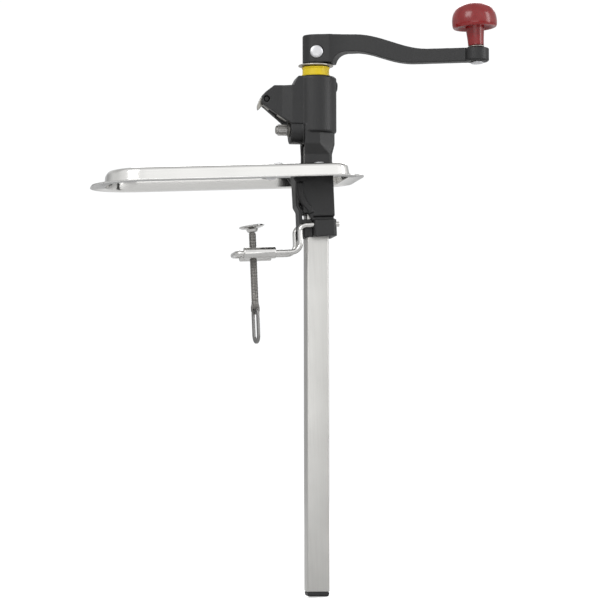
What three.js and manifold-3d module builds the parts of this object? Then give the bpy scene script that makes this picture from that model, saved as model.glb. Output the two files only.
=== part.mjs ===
// Table-mounted manual can opener.
//
// A square bar carries the cutting head and slides in a cast base. The base sits on the
// edge of a table under a pressed steel can plate and is held by a wire yoke, a saddle nut
// and a thumb screw below the table. A crank on top turns an upright arbor, and a pair of
// bevel gears turns the knurled feed wheel that walks the can rim past the knife.
//
// Units are millimetres, +Z is up, +X runs away from the can and -Y faces the user.
// The origin is on the bar's axis, at the level of the table top.

import * as THREE from 'three';
import { mergeVertices } from 'three/addons/utils/BufferGeometryUtils.js';
import Module from 'manifold-3d';

const wasm = await Module();
wasm.setup();

// ---------------------------------------------------------------- driving dimensions

const fitGap = 0.35;          // running clearance on a radius, or between two faces
const restGap = 0.3;          // gap between pieces that touch

// square bar
const barSize = 19.05;        // three quarters of an inch
const barCorner = 1.6;
const barBottom = -346;
const barTop = 31;
const barLean = 2.2;          // degrees the bar leans in its sleeve, from the sleeve's play

// can plate, an inverted pan
const plateLeft = -190.5;
const plateRight = 36.5;
const plateDepth = 104;
const plateSheet = 1.2;
const plateHeight = 12.5;
const plateFlange = 12;
const plateLeftRadius = 44;   // corner radius at the can end
const plateRightRadius = 24;  // corner radius at the bar end
const plateTopRadius = 4.5;

// base casting
const sleeveWall = 2.4;
const sleeveSideWall = 4.1;
const sleeveBottom = -33.5;
const collarBottom = -47.5;
const lugLeft = -6;
const padThickness = 3.6;     // mounting pad inside the can plate
const padLeft = -42;
const padRight = 17;
const padHalfDepth = 30;
const cheekThickness = 3.6;
const cheekReach = 18.8;
const tongueThickness = 2.6;
const tongueBottom = -41;
const bossRise = 1.0;         // casting above the can plate
const rivetShank = 5;
const rivetHead = 9.5;
const rivetHeadHeight = 1.9;

// clamp yoke
const rodDiameter = 4.6;
const rodHalfSpan = 14.2;
const rodLevel = -37.5;       // height of the legs in the casting
const yokeLevel = -60;        // height of the legs below the table
const yokeDropX = -16.9;
const yokeEndX = -71.3;
const yokeUpperBend = 5.5;
const yokeLowerBend = 8;
const yokeCornerBend = 5;
const rodStickOut = 2.4;

// saddle, nut and clamp screw
const saddleLength = 27;
const saddleCentreX = -52;
const saddleWrap = 2.3;
const saddleWeb = 4.4;
const nutSize = 13;
const nutHeight = 8.4;
const screwDiameter = 6.35;
const screwX = -55.6;
const screwTop = -40.2;
const screwShankEnd = -102;
const screwTabEnd = -111;
const screwTabThickness = 3;
const screwTabEye = 4.8;
const screwTurned = -78;      // degrees the screw is turned about its axis at rest
const padDiameter = 21.5;
const padRimHeight = 1.6;
const padBossDiameter = 9.6;
const padBossLength = 6;
const padTop = -35.3;
const padLean = -6.5;         // degrees the pad leans on the screw's tip
const stripThickness = 2;     // flat strip of the loop handle
const stripWidth = 4;
const loopWidth = 13.4;
const loopHeight = 28;

// cutting head
const tubeRadius = barSize / 2 + 7.975;
const tubeTop = 89.5;
const tubeBottom = 41.4;
const columnWall = 4.975;     // metal on each side of the bar
const columnHalf = barSize / 2 + columnWall;
const noseRootHalf = 12.5;
const noseTipHalf = 7.6;
const noseTipX = -47.5;
const knifeThickness = 3.6;
const knifeSlot = knifeThickness + 2 * restGap;
const gearLevel = 43.8;       // height of the feed shaft's axis
const gearRoom = 11.7;        // radius of the gear chamber
const gearRoomTop = 56;
const feedBossRadius = 12;    // housing of the feed shaft

// bevel gears, arbor and feed shaft
const bevelTeeth = 10;
const bevelPitchRadius = 6.6;
const bevelFace = 3;
const bevelToothHeight = 1.5;
const arborDiameter = 9.5;
const arborCrankDiameter = 9.5;
const feedShaftDiameter = 5.6;
const feedWheelDiameter = 9.6;
const feedWheelLength = 8.3;
const feedWheelTeeth = 22;
const feedBushFlange = 12;
const feedBushFlangeThickness = 1.2;
const feedCapLength = 1.5;
const feedBushOuter = 9.6;
const headLeftFace = -22.9;

// top bushing and thrust washer
const bushDiameter = 23.7;
const bushSpigot = 15;
const bushSpigotLength = 22;
const bushRise = 8.2;
const washerDiameter = 29.8;
const washerThickness = 2.2;

// crank
const crankTurn = -19;        // degrees the crank is turned about the arbor at rest
const crankHubRadius = 11.3;
const crankHubTop = 124.8;
const crankHubBlock = 14.6;
const crankLength = 137.5;
const crankBossRadius = 10.4;
const crankBossTop = 110.4;
const crankBossBottom = 98.8;
const crankRootHalf = 8.5;
const crankTipHalf = 5;
const crankPinDiameter = 6;
const crankPinHead = 10.8;
const crankPinLevel = 109.8;
const crankPinTurn = 13;      // degrees between the pin and a square crossing of the arm

// knob
const knobCapRadius = 19;
const knobStemRadius = 7.9;
const knobFootRadius = 6.7;
const knobHeight = 36.5;
const knobCapHeight = 21.5;
const knobHollow = 3.4;       // depth of the hollow under the cap
const knobLean = -3.4;        // degrees the knob's stud leans towards the arbor
const studDiameter = 7;

// ---------------------------------------------------------------- solids and booleans

const degrees = THREE.MathUtils.degToRad;

// A closed three.js geometry as a solid that can be cut and joined.
function solid(geometry) {
  const bare = geometry.index ? geometry.toNonIndexed() : geometry.clone();
  bare.deleteAttribute('normal');
  bare.deleteAttribute('uv');
  const merged = mergeVertices(bare, 1e-4);
  const mesh = new wasm.Mesh({
    numProp: 3,
    vertProperties: new Float32Array(merged.attributes.position.array),
    triVerts: new Uint32Array(merged.index.array),
  });
  return new wasm.Manifold(mesh);
}

function geometryOf(shape) {
  const mesh = shape.getMesh();
  const geometry = new THREE.BufferGeometry();
  geometry.setAttribute('position', new THREE.BufferAttribute(new Float32Array(mesh.vertProperties), 3));
  geometry.setIndex(new THREE.BufferAttribute(new Uint32Array(mesh.triVerts), 1));
  const flat = geometry.toNonIndexed();
  flat.computeVertexNormals();
  return flat;
}

function joined(...pieces) {
  return pieces.reduce((whole, piece) => whole.add(piece));
}

function cut(body, ...tools) {
  return tools.reduce((whole, tool) => whole.subtract(tool), body);
}

function box(x0, x1, y0, y1, z0, z1) {
  const geometry = new THREE.BoxGeometry(x1 - x0, y1 - y0, z1 - z0);
  geometry.translate((x0 + x1) / 2, (y0 + y1) / 2, (z0 + z1) / 2);
  return solid(geometry);
}

// A round bar between two heights, with its axis along z, x or y.
function rod(radius, from, to, { axis = 'z', at = [0, 0, 0], sides = 28 } = {}) {
  const geometry = new THREE.CylinderGeometry(radius, radius, to - from, sides);
  geometry.translate(0, (from + to) / 2, 0);
  if (axis === 'z') geometry.rotateX(Math.PI / 2);
  if (axis === 'x') geometry.rotateZ(-Math.PI / 2);
  geometry.translate(...at);
  return solid(geometry);
}

// A turned piece from [radius, height] points that start and end on the axis.
function turned(points, sides = 36) {
  const profile = points.map(([radius, height]) => new THREE.Vector2(radius, height));
  const geometry = new THREE.LatheGeometry(profile, sides);
  geometry.rotateX(Math.PI / 2);
  return solid(geometry);
}

// An outline in the plane of X and Y, raised between two heights.
function raised(shape, bottom, top, curveSegments = 10) {
  const geometry = new THREE.ExtrudeGeometry(shape, {
    depth: top - bottom, bevelEnabled: false, curveSegments,
  });
  geometry.translate(0, 0, bottom);
  return solid(geometry);
}

// An outline in the plane of X and Z, given a depth along Y.
function sideways(shape, near, far, curveSegments = 10) {
  const geometry = new THREE.ExtrudeGeometry(shape, {
    depth: far - near, bevelEnabled: false, curveSegments,
  });
  geometry.rotateX(Math.PI / 2);
  geometry.translate(0, far, 0);
  return solid(geometry);
}

function polygon(points) {
  return new THREE.Shape(points.map(([x, y]) => new THREE.Vector2(x, y)));
}

// A round bar bent along a path.
function bentRod(path, radius, steps, sides = 14) {
  const section = new THREE.Shape();
  for (let i = 0; i < sides; i += 1) {
    const angle = (2 * Math.PI * i) / sides;
    const point = [radius * Math.cos(angle), radius * Math.sin(angle)];
    if (i === 0) section.moveTo(...point);
    else section.lineTo(...point);
  }
  return new THREE.ExtrudeGeometry(section, { steps, extrudePath: path, bevelEnabled: false });
}

// A flat strip bent along a path in the plane of X and Z, with its width along Y.
function bentStrip(path, thickness, width, steps) {
  const section = polygon([
    [-width / 2 + 0.6, -thickness / 2], [width / 2 - 0.6, -thickness / 2], [width / 2,
      -thickness / 2 + 0.5],
    [width / 2, thickness / 2 - 0.5], [width / 2 - 0.6, thickness / 2], [-width / 2 + 0.6, thickness / 2],
    [-width / 2, thickness / 2 - 0.5], [-width / 2, -thickness / 2 + 0.5],
  ]);
  const points = path.getSpacedPoints(steps).slice(0, -1);
  const rings = points.map((point, i) => {
    const next = points[(i + 1) % steps];
    const last = points[(i + steps - 1) % steps];
    const along = next.clone().sub(last).normalize();
    return section.getPoints().slice(0, 8).map(({ x, y }) => [point.x - along.z * y, x,
      point.z + along.x * y]);
  });
  return closedLoop(rings);
}

// A skin over rings that follow a closed path.
function closedLoop(rings) {
  const count = rings[0].length;
  const geometry = new THREE.BufferGeometry();
  geometry.setAttribute('position', new THREE.Float32BufferAttribute(rings.flat(2), 3));
  const index = [];
  for (let r = 0; r < rings.length; r += 1) {
    const a = r * count;
    const b = ((r + 1) % rings.length) * count;
    for (let i = 0; i < count; i += 1) {
      const j = (i + 1) % count;
      index.push(a + i, a + j, b + j, a + i, b + j, b + i);
    }
  }
  geometry.setIndex(index);
  return geometry;
}

// A skin over rings that have the same number of points, closed by a fan at each end. Each
// ring runs counterclockwise as seen from the ring that follows it.
function lofted(rings) {
  const count = rings[0].length;
  const positions = rings.flat(2);
  const centre = (ring) => [0, 1, 2].map((k) => ring.reduce((sum, p) => sum + p[k], 0) / count);
  positions.push(...centre(rings[0]), ...centre(rings.at(-1)));
  const firstCentre = rings.length * count;
  const lastCentre = firstCentre + 1;
  const index = [];
  for (let i = 0; i < count; i += 1) {
    const j = (i + 1) % count;
    index.push(firstCentre, j, i);
    const last = (rings.length - 1) * count;
    index.push(lastCentre, last + i, last + j);
    for (let r = 0; r + 1 < rings.length; r += 1) {
      const a = r * count;
      const b = a + count;
      index.push(a + i, a + j, b + j, a + i, b + j, b + i);
    }
  }
  const geometry = new THREE.BufferGeometry();
  geometry.setAttribute('position', new THREE.Float32BufferAttribute(positions, 3));
  geometry.setIndex(index);
  return geometry;
}

// ---------------------------------------------------------------- finishes

const finish = {
  castBlack: { color: 0x2b2b2d, roughness: 0.62, metalness: 0.1 },
  polishedSteel: { color: 0xd8d9d6, roughness: 0.16, metalness: 1 },
  satinSteel: { color: 0xbfbdb8, roughness: 0.38, metalness: 1 },
  darkSteel: { color: 0x6c6b66, roughness: 0.42, metalness: 1 },
  blackPlastic: { color: 0x1c1c1d, roughness: 0.5, metalness: 0 },
  yellowPlastic: { color: 0xe8cb22, roughness: 0.45, metalness: 0 },
  redPlastic: { color: 0xa31f22, roughness: 0.22, metalness: 0 },
};

function piece(name, shape, look) {
  const geometry = shape.isBufferGeometry ? shape : geometryOf(shape);
  const mesh = new THREE.Mesh(geometry, new THREE.MeshStandardMaterial(look));
  mesh.name = name;
  return mesh;
}

// ---------------------------------------------------------------- derived dimensions

const barHalf = barSize / 2;
const lean = degrees(barLean);
const plateTopInside = plateHeight - plateSheet;
const bossTop = plateHeight + bossRise;
const columnBottom = bossTop + restGap + columnHalf * Math.tan(lean);
const sleeveMiddle = (bossTop + collarBottom) / 2;
const sleeveHalfHeight = (bossTop - collarBottom) / 2;
const boreHalfX = barHalf / Math.cos(lean) + sleeveHalfHeight * Math.tan(lean) + fitGap;
const boreHalfY = barHalf + fitGap;
const sleeveHalfX = boreHalfX + sleeveWall;
const sleeveHalfY = boreHalfY + sleeveSideWall;
const rodRadius = rodDiameter / 2;
const rodBore = rodRadius + fitGap;
const collarHalfY = rodHalfSpan + rodBore + 2;
const collarWaist = rodHalfSpan - rodBore - 0.2;
const collarRight = sleeveHalfX + 0.8;
const padTopLevel = plateTopInside - restGap;
const padBottomLevel = padTopLevel - padThickness;

// ---------------------------------------------------------------- can plate

// Rounded rectangle with its own radius at each end, set in from the plate's outline.
function plateRing(inset, height) {
  const half = plateDepth / 2 - inset;
  const left = plateLeft + inset;
  const right = plateRight - inset;
  const rightRadius = Math.max(plateRightRadius - inset, 2);
  const leftRadius = Math.max(plateLeftRadius - inset, 2);
  const corners = [
    [right - rightRadius, half - rightRadius, rightRadius, 0],
    [left + leftRadius, half - leftRadius, leftRadius, 1],
    [left + leftRadius, leftRadius - half, leftRadius, 2],
    [right - rightRadius, rightRadius - half, rightRadius, 3],
  ];
  const steps = 7;
  return corners.flatMap(([x, y, radius, quarter]) => Array.from({ length: steps + 1 }, (_, i) => {
    const angle = ((quarter + i / steps) * Math.PI) / 2;
    return [x + radius * Math.cos(angle), y + radius * Math.sin(angle), height];
  }));
}

// Rings that follow a quarter round from one inset and height to another.
function roundedStep(insetFrom, heightFrom, insetTo, heightTo, hollow) {
  const steps = 3;
  return Array.from({ length: steps }, (_, i) => {
    const angle = ((i + 1) / steps) * (Math.PI / 2);
    const along = hollow ? Math.sin(angle) : 1 - Math.cos(angle);
    const up = hollow ? 1 - Math.cos(angle) : Math.sin(angle);
    return plateRing(insetFrom + (insetTo - insetFrom) * along, heightFrom + (heightTo - heightFrom) * up);
  });
}

function canPlate() {
  const wallFoot = plateFlange;
  const wallHead = plateFlange + 0.8;
  const foot = 2;
  const shoulder = plateHeight - plateTopRadius;
  const outer = [
    plateRing(0, 0),
    plateRing(0, plateSheet),
    plateRing(wallFoot - foot, plateSheet),
    ...roundedStep(wallFoot - foot, plateSheet, wallFoot, plateSheet + foot, true),
    plateRing(wallHead, shoulder),
    ...roundedStep(wallHead, shoulder, wallHead + plateTopRadius, plateHeight, false),
  ];
  const innerTopRadius = plateTopRadius - plateSheet;
  const inner = [
    plateRing(wallHead + plateTopRadius, plateTopInside),
    ...roundedStep(wallHead + plateSheet, shoulder, wallHead + plateTopRadius, plateTopInside, false)
      .slice(0, -1).reverse(),
    plateRing(wallHead + plateSheet, shoulder),
    plateRing(wallFoot + plateSheet, foot),
    plateRing(wallFoot, 0),
  ];
  const shell = solid(lofted([...inner, ...outer]));
  const window = box(
    -sleeveHalfX - fitGap, sleeveHalfX + fitGap, -sleeveHalfY - fitGap, sleeveHalfY + fitGap, 0, 2 * plateHeight,
  );
  const holes = rivetPlaces().map(([x, y]) => rod(rivetShank / 2 + fitGap, 0, 2 * plateHeight,
    { at: [x, y, 0] }));
  return cut(shell, window, ...holes);
}

function rivetPlaces() {
  const leftX = padLeft + 7.5;
  const y = padHalfDepth - 7.5;
  return [[leftX, -y], [leftX, y], [0, -y], [0, y]];
}

function plateRivet() {
  const shank = rivetShank / 2;
  const head = rivetHead / 2;
  const top = plateHeight + restGap;
  const foot = padBottomLevel - restGap;
  return turned([
    [0, foot - rivetHeadHeight],
    [head * 0.6, foot - rivetHeadHeight],
    [head * 0.86, foot - rivetHeadHeight * 0.5],
    [head * 0.9, foot],
    [shank, foot],
    [shank, top],
    [head, top],
    [head * 0.93, top + rivetHeadHeight * 0.5],
    [head * 0.62, top + rivetHeadHeight * 0.9],
    [0, top + rivetHeadHeight],
  ], 18);
}

// ---------------------------------------------------------------- base casting

function baseCasting() {
  const pad = raised(roundedRectangle(padLeft, padRight, -padHalfDepth, padHalfDepth, 7),
    padBottomLevel, padTopLevel, 5);
  const sleeve = box(-sleeveHalfX, sleeveHalfX, -sleeveHalfY, sleeveHalfY, sleeveBottom, bossTop);
  const collarBody = raised(roundedRectangle(-sleeveHalfX, collarRight, -collarWaist, collarWaist, 1.2),
    collarBottom, sleeveBottom + 1, 3);
  const lugs = raised(roundedRectangle(lugLeft, collarRight, -collarHalfY, collarHalfY, 4),
    collarBottom, sleeveBottom, 5);
  const cheekShape = new THREE.Shape();
  cheekShape.moveTo(-sleeveHalfX + 4, padBottomLevel + 1);
  cheekShape.lineTo(-cheekReach - 6, padBottomLevel + 1);
  cheekShape.lineTo(-cheekReach, -1);
  cheekShape.lineTo(-cheekReach + 0.4, -9.5);
  cheekShape.quadraticCurveTo(-cheekReach + 2.6, -19, -sleeveHalfX + 4, -27.5);
  const cheeks = [-1, 1].map((side) => {
    const near = Math.min(side * sleeveHalfY, side * (sleeveHalfY - cheekThickness));
    return sideways(cheekShape, near, near + cheekThickness, 8);
  });
  const tongue = sideways(polygon([
    [-cheekReach - 3, padBottomLevel + 1],
    [-cheekReach - 0.3, -1],
    [-cheekReach - 0.1, -21],
    [-cheekReach + 2.2, -25.5],
    [-cheekReach + 2.2, tongueBottom],
    [-cheekReach + 2.2 + tongueThickness, tongueBottom],
    [-cheekReach + 2.2 + tongueThickness, -24],
    [-cheekReach + tongueThickness, -20],
    [-cheekReach + tongueThickness, padBottomLevel + 1],
  ]), -sleeveHalfY + cheekThickness - 0.5, sleeveHalfY - cheekThickness + 0.5);
  // The side walls are cut away below a hollow curve that runs from the cheeks to the lugs.
  const openShape = new THREE.Shape();
  openShape.moveTo(-sleeveHalfX - 9, -27.4);
  openShape.lineTo(-sleeveHalfX + 3.9, -27.4);
  openShape.quadraticCurveTo(-sleeveHalfX + 5.5, -30.5, lugLeft, sleeveBottom);
  openShape.lineTo(lugLeft, -40);
  openShape.lineTo(-sleeveHalfX - 9, -40);
  const opening = sideways(openShape, -collarHalfY, collarHalfY, 8);
  const bore = box(-boreHalfX, boreHalfX, -boreHalfY, boreHalfY, collarBottom - 1, bossTop + 1);
  const rodBores = [-1, 1].map((side) => (
    rod(rodBore, lugLeft - 1, collarRight + 1, { axis: 'x', at: [0, side * rodHalfSpan, rodLevel],
      sides: 20 })));
  const rivetHoles = rivetPlaces().map(([x, y]) => (
    rod(rivetShank / 2 + fitGap, padBottomLevel - 1, padTopLevel + 1, { at: [x, y, 0], sides: 20 })));
  // A shallow groove parts the sleeve from the collar on the sides and the right.
  const groove = cut(
    box(-sleeveHalfX + 8, sleeveHalfX + 2, -sleeveHalfY - 1, sleeveHalfY + 1, sleeveBottom,
      sleeveBottom + 3),
    box(-sleeveHalfX, sleeveHalfX - 0.9, -sleeveHalfY + 1.2, sleeveHalfY - 1.2, sleeveBottom - 1,
      sleeveBottom + 4),
  );
  const body = cut(joined(pad, sleeve), opening, groove);
  return cut(joined(body, collarBody, lugs, ...cheeks, tongue), bore, ...rodBores, ...rivetHoles);
}

function roundedRectangle(x0, x1, y0, y1, radius) {
  const shape = new THREE.Shape();
  shape.moveTo(x0 + radius, y0);
  shape.lineTo(x1 - radius, y0);
  shape.absarc(x1 - radius, y0 + radius, radius, -Math.PI / 2, 0);
  shape.lineTo(x1, y1 - radius);
  shape.absarc(x1 - radius, y1 - radius, radius, 0, Math.PI / 2);
  shape.lineTo(x0 + radius, y1);
  shape.absarc(x0 + radius, y1 - radius, radius, Math.PI / 2, Math.PI);
  shape.lineTo(x0, y0 + radius);
  shape.absarc(x0 + radius, y0 + radius, radius, Math.PI, Math.PI * 1.5);
  return shape;
}

// ---------------------------------------------------------------- clamp yoke and saddle

// A path of straight runs joined by round bends: each corner is [point, bend radius].
function bentPath(start, corners, end) {
  const path = new THREE.CurvePath();
  let from = new THREE.Vector3(...start);
  const points = [...corners, [end, 0]];
  for (let i = 0; i + 1 < points.length; i += 1) {
    const corner = new THREE.Vector3(...points[i][0]);
    const next = new THREE.Vector3(...points[i + 1][0]);
    const radius = points[i][1];
    const into = corner.clone().addScaledVector(corner.clone().sub(from).normalize(), -radius);
    const out = corner.clone().addScaledVector(next.clone().sub(corner).normalize(), radius);
    path.add(new THREE.LineCurve3(from, into));
    path.add(new THREE.QuadraticBezierCurve3(into, corner, out));
    from = out;
  }
  path.add(new THREE.LineCurve3(from, new THREE.Vector3(...end)));
  return path;
}

function clampYoke() {
  const right = collarRight + rodStickOut;
  const y = rodHalfSpan;
  const path = bentPath([right, -y, rodLevel], [
    [[yokeDropX, -y, rodLevel], yokeUpperBend],
    [[yokeDropX, -y, yokeLevel], yokeLowerBend],
    [[yokeEndX, -y, yokeLevel], yokeCornerBend],
    [[yokeEndX, y, yokeLevel], yokeCornerBend],
    [[yokeDropX, y, yokeLevel], yokeLowerBend],
    [[yokeDropX, y, rodLevel], yokeUpperBend],
  ], [right, y, rodLevel]);
  return bentRod(path, rodRadius, 64, 10);
}

const saddleHalfHeight = rodRadius + fitGap + saddleWrap;

function saddlePlate() {
  const left = saddleCentreX - saddleLength / 2;
  const right = saddleCentreX + saddleLength / 2;
  const wraps = [-1, 1].map((side) => rod(saddleHalfHeight, left, right,
    { axis: 'x', at: [0, side * rodHalfSpan, yokeLevel], sides: 28 }));
  const web = box(left, right, -rodHalfSpan, rodHalfSpan, yokeLevel - saddleWeb / 2,
    yokeLevel + saddleWeb / 2);
  const bores = [-1, 1].map((side) => rod(rodBore, left - 1, right + 1,
    { axis: 'x', at: [0, side * rodHalfSpan, yokeLevel], sides: 20 }));
  const nutSeat = nutSize / 2 + restGap;
  const seat = box(screwX - nutSeat, screwX + nutSeat, -nutSeat, nutSeat, yokeLevel - 10, yokeLevel + 10);
  return cut(joined(...wraps, web), ...bores, seat);
}

function saddleNut() {
  const half = nutSize / 2;
  const block = box(screwX - half, screwX + half, -half, half, yokeLevel - nutHeight / 2,
    yokeLevel + nutHeight / 2);
  return cut(block, rod(screwDiameter / 2 + fitGap, yokeLevel - nutHeight, yokeLevel + nutHeight,
    { at: [screwX, 0, 0] }));
}

// ---------------------------------------------------------------- clamp screw, pad and loop
// These are drawn about the screw's own axis and placed by a group.

const screwEyeLevel = screwTabEnd + screwDiameter / 2 + 0.4;

function clampScrew() {
  const radius = screwDiameter / 2;
  const shank = turned([
    [0, screwShankEnd - 6], [radius * 0.75, screwShankEnd - 5], [radius, screwShankEnd - 2],
    [radius, screwTop - 1.5], [radius * 0.55, screwTop - 1.5], [radius * 0.55, screwTop - 0.7],
    [radius * 0.7, screwTop + 0.5], [radius * 0.45, screwTop + 1.6], [0, screwTop + 1.9],
  ], 24);
  const tab = box(-screwTabThickness / 2, screwTabThickness / 2, -radius - 0.4, radius + 0.4,
    screwTabEnd + 3, screwShankEnd);
  const tabEnd = rod(radius + 0.4, -screwTabThickness / 2, screwTabThickness / 2,
    { axis: 'x', at: [0, 0, screwEyeLevel], sides: 24 });
  const eye = rod(screwTabEye / 2, -radius - 2, radius + 2,
    { axis: 'x', at: [0, 0, screwEyeLevel], sides: 20 });
  return cut(joined(shank, tab, tabEnd), eye);
}

function clampPad() {
  const radius = padDiameter / 2;
  const boss = padBossDiameter / 2;
  const socket = screwDiameter / 2 * 0.7 + fitGap + 0.2;
  const top = padTop - screwTop - 1;
  return turned([
    [0, 1.6], [socket, 1.6], [socket, top - padBossLength],
    [boss * 0.82, top - padBossLength], [boss, top - 3.4], [radius * 0.8, top - 2.6],
    [radius, top - padRimHeight], [radius, top - 0.2], [radius * 0.9, top], [0, top],
  ], 32);
}

function screwLoop() {
  const half = (loopWidth - stripThickness) / 2;
  const top = screwEyeLevel - 0.2;
  const bottom = top - loopHeight + stripThickness;
  const low = half * 0.98;
  const high = half * 0.45;
  const path = bentPath([0, 0, top], [
    [[half, 0, top], high], [[half, 0, bottom], low], [[-half, 0, bottom], low], [[-half, 0, top], high],
  ], [0, 0, top]);
  return bentStrip(path, stripThickness, stripWidth, 48);
}

// ---------------------------------------------------------------- bar and end plug

function squareBar() {
  const shape = roundedRectangle(-barHalf, barHalf, -barHalf, barHalf, barCorner);
  return raised(shape, barBottom, barTop, 5);
}

function barEndPlug() {
  const wide = barHalf - 0.2;
  const ring = (half, height) => [[half, half], [-half, half], [-half, -half], [half, -half]]
    .map(([x, y]) => [x, y, height]);
  const top = barBottom - restGap;
  return solid(lofted([ring(wide - 1.3, top - 3.6), ring(wide - 0.5, top - 2.8), ring(wide, top)]));
}

// ---------------------------------------------------------------- head casting

// Plan of the column below the tube: flat in front, with a slanted right side.
function columnRing(shrink, height, facetStart) {
  const h = columnHalf - shrink;
  const right = columnHalf + 0.8 - shrink;
  const depth = (right - facetStart) * 0.66;
  const front = [[-11.5, -h], [facetStart, -h], [right - 1.2, -h + depth * 0.6], [right, -h + depth]];
  const back = front.map(([x, y]) => [x, -y]).reverse();
  return [...front, ...back].map(([x, y]) => [x, y, height]);
}

function noseOutline(lowRight, lowRightLevel) {
  const shape = new THREE.Shape();
  shape.moveTo(0, tubeTop - 0.6);
  shape.lineTo(-16.6, tubeTop - 0.6);
  shape.lineTo(-20.8, 81);
  shape.lineTo(-36.8, 81);
  shape.lineTo(-43.8, 75.6);
  shape.quadraticCurveTo(noseTipX, 72.2, noseTipX, 67.4);
  shape.quadraticCurveTo(noseTipX, 65.4, -46.5, 64.9);
  shape.lineTo(lowRight, lowRightLevel);
  shape.lineTo(headLeftFace, lowRightLevel - 1);
  shape.lineTo(0, lowRightLevel - 1);
  return shape;
}

// Plan that narrows the nose from the tube to its tip.
function nosePlan() {
  return polygon([
    [6, -noseRootHalf], [6, noseRootHalf], [-22, noseRootHalf], [-30, noseTipHalf + 1.2],
    [noseTipX - 4, noseTipHalf], [noseTipX - 4, -noseTipHalf], [-30, -noseTipHalf - 1.2], [-22,
      -noseRootHalf],
  ]);
}

function headCasting() {
  const tube = turned([
    [0, tubeBottom], [tubeRadius - 1, tubeBottom], [tubeRadius, tubeBottom + 1], [tubeRadius,
      tubeTop - 1.6],
    [tubeRadius - 1.6, tubeTop], [0, tubeTop],
  ], 44);
  const column = solid(lofted([
    columnRing(3, columnBottom, 10), columnRing(3, 22.5, 10),
    columnRing(0, 31.3, 1), columnRing(0, tubeBottom + 6, 1),
  ]));
  // The cheek on the user's side of the knife is cut higher than the one behind it.
  const cheeks = joined(sideways(noseOutline(-24.2, 49.4), -20, 0, 8),
    sideways(noseOutline(-26.4, 48.1), 0, 20, 8));
  const nose = cheeks.intersect(raised(nosePlan(), 0, tubeTop + 5));
  const feedBoss = rod(feedBossRadius, headLeftFace, 0, { axis: 'x', at: [0, 0, gearLevel], sides: 44 });
  const bump = rod(4, tubeRadius - 3, tubeRadius + 0.8, { axis: 'x', at: [0, 0, 81.5], sides: 20 });

  const pocket = barHalf + restGap;
  const barPocket = box(-20, pocket, -pocket, pocket, 0, barTop + restGap);
  const chamber = rod(gearRoom, barTop - 1, gearRoomTop, { sides: 28 });
  const arborBore = rod(arborDiameter / 2 + fitGap, gearRoomTop - 1, tubeTop + 1);
  const bushBore = rod(bushSpigot / 2 + restGap, tubeTop - bushSpigotLength - restGap, tubeTop + 1);
  const feedBore = rod(feedBushOuter / 2 + restGap, headLeftFace - 3, 0,
    { axis: 'x', at: [0, 0, gearLevel], sides: 28 });
  const slot = box(noseTipX - 3, -25, -knifeSlot / 2, knifeSlot / 2, 40, 73);
  const blockSeat = knifeBlockSeat(restGap);
  const screwBore = rod(2.3 + fitGap, -20, 20, { axis: 'y', at: [knifeScrewX, 0, knifeScrewZ], sides: 20 });
  const screwSink = rod(4.2 + fitGap, noseTipHalf - 0.6, 20,
    { axis: 'y', at: [knifeScrewX, 0, knifeScrewZ], sides: 24 });
  const fixingBores = barScrewLevels.map((z) => (
    rod(2.6 + fitGap, pocket - 1, columnHalf + 3, { axis: 'y', at: [1, 0, z], sides: 20 })));
  const flangeRoom = rod(feedBushFlange / 2 + restGap, headLeftFace - 3, headLeftFace,
    { axis: 'x', at: [0, 0, gearLevel], sides: 32 });
  return cut(joined(tube, column, nose, feedBoss, bump), flangeRoom, barPocket, chamber, arborBore,
    bushBore, feedBore, slot,
    blockSeat, screwBore, screwSink, ...fixingBores);
}

const knifeScrewX = -43.2;
const knifeScrewZ = 69.4;
const barScrewLevels = [20.5, 27];

// The seat of the hardened block behind the knife, open below the nose.
const blockLeft = -33.8;
const blockRight = -25.6;
const blockTop = 61;

function knifeBlockSeat(grow) {
  const left = blockLeft - grow;
  const right = blockRight + grow;
  const top = blockTop + grow;
  return sideways(polygon([[left, 40], [left, top], [right, top], [right, 40]]), -5 - grow, 5 + grow);
}

function knifeBlock() {
  return sideways(polygon([
    [blockLeft, 56.2], [blockLeft, blockTop], [blockRight, blockTop], [blockRight, 50.8],
  ]), -5, 5);
}

function knifeBlade() {
  const shape = new THREE.Shape();
  shape.moveTo(-39.8, 72.6);
  shape.lineTo(-45.4, 72.6);
  shape.quadraticCurveTo(-48.4, 70.4, -49.4, 67);
  shape.quadraticCurveTo(-51.2, 63.4, -50.2, 60.2);
  shape.quadraticCurveTo(-49.2, 60.6, -48.2, 61.8);
  shape.quadraticCurveTo(-47, 63.6, -45.3, 64.3);
  shape.lineTo(-41, 60.4);
  shape.lineTo(-39.8, 61.4);
  const half = knifeThickness / 2;
  const blade = sideways(shape, -half, half, 8);
  return cut(blade, rod(2.3 + fitGap, -half - 1, half + 1,
    { axis: 'y', at: [knifeScrewX, 0, knifeScrewZ], sides: 20 }));
}

function knifeScrew() {
  const screw = turned([
    [0, -noseTipHalf + 0.6], [1.8, -noseTipHalf + 0.6], [2.3, -noseTipHalf + 1.4], [2.3, noseTipHalf - 0.4],
    [4.2, noseTipHalf - 0.4], [4.2, noseTipHalf + 1.6], [3.4, noseTipHalf + 2.6], [0, noseTipHalf + 2.9],
  ], 24);
  const slot = box(-0.6, 0.6, -6, 6, noseTipHalf + 1.8, noseTipHalf + 4);
  return cut(screw, slot).rotate([-90, 0, 0]).translate([knifeScrewX, 0, knifeScrewZ]);
}

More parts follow.
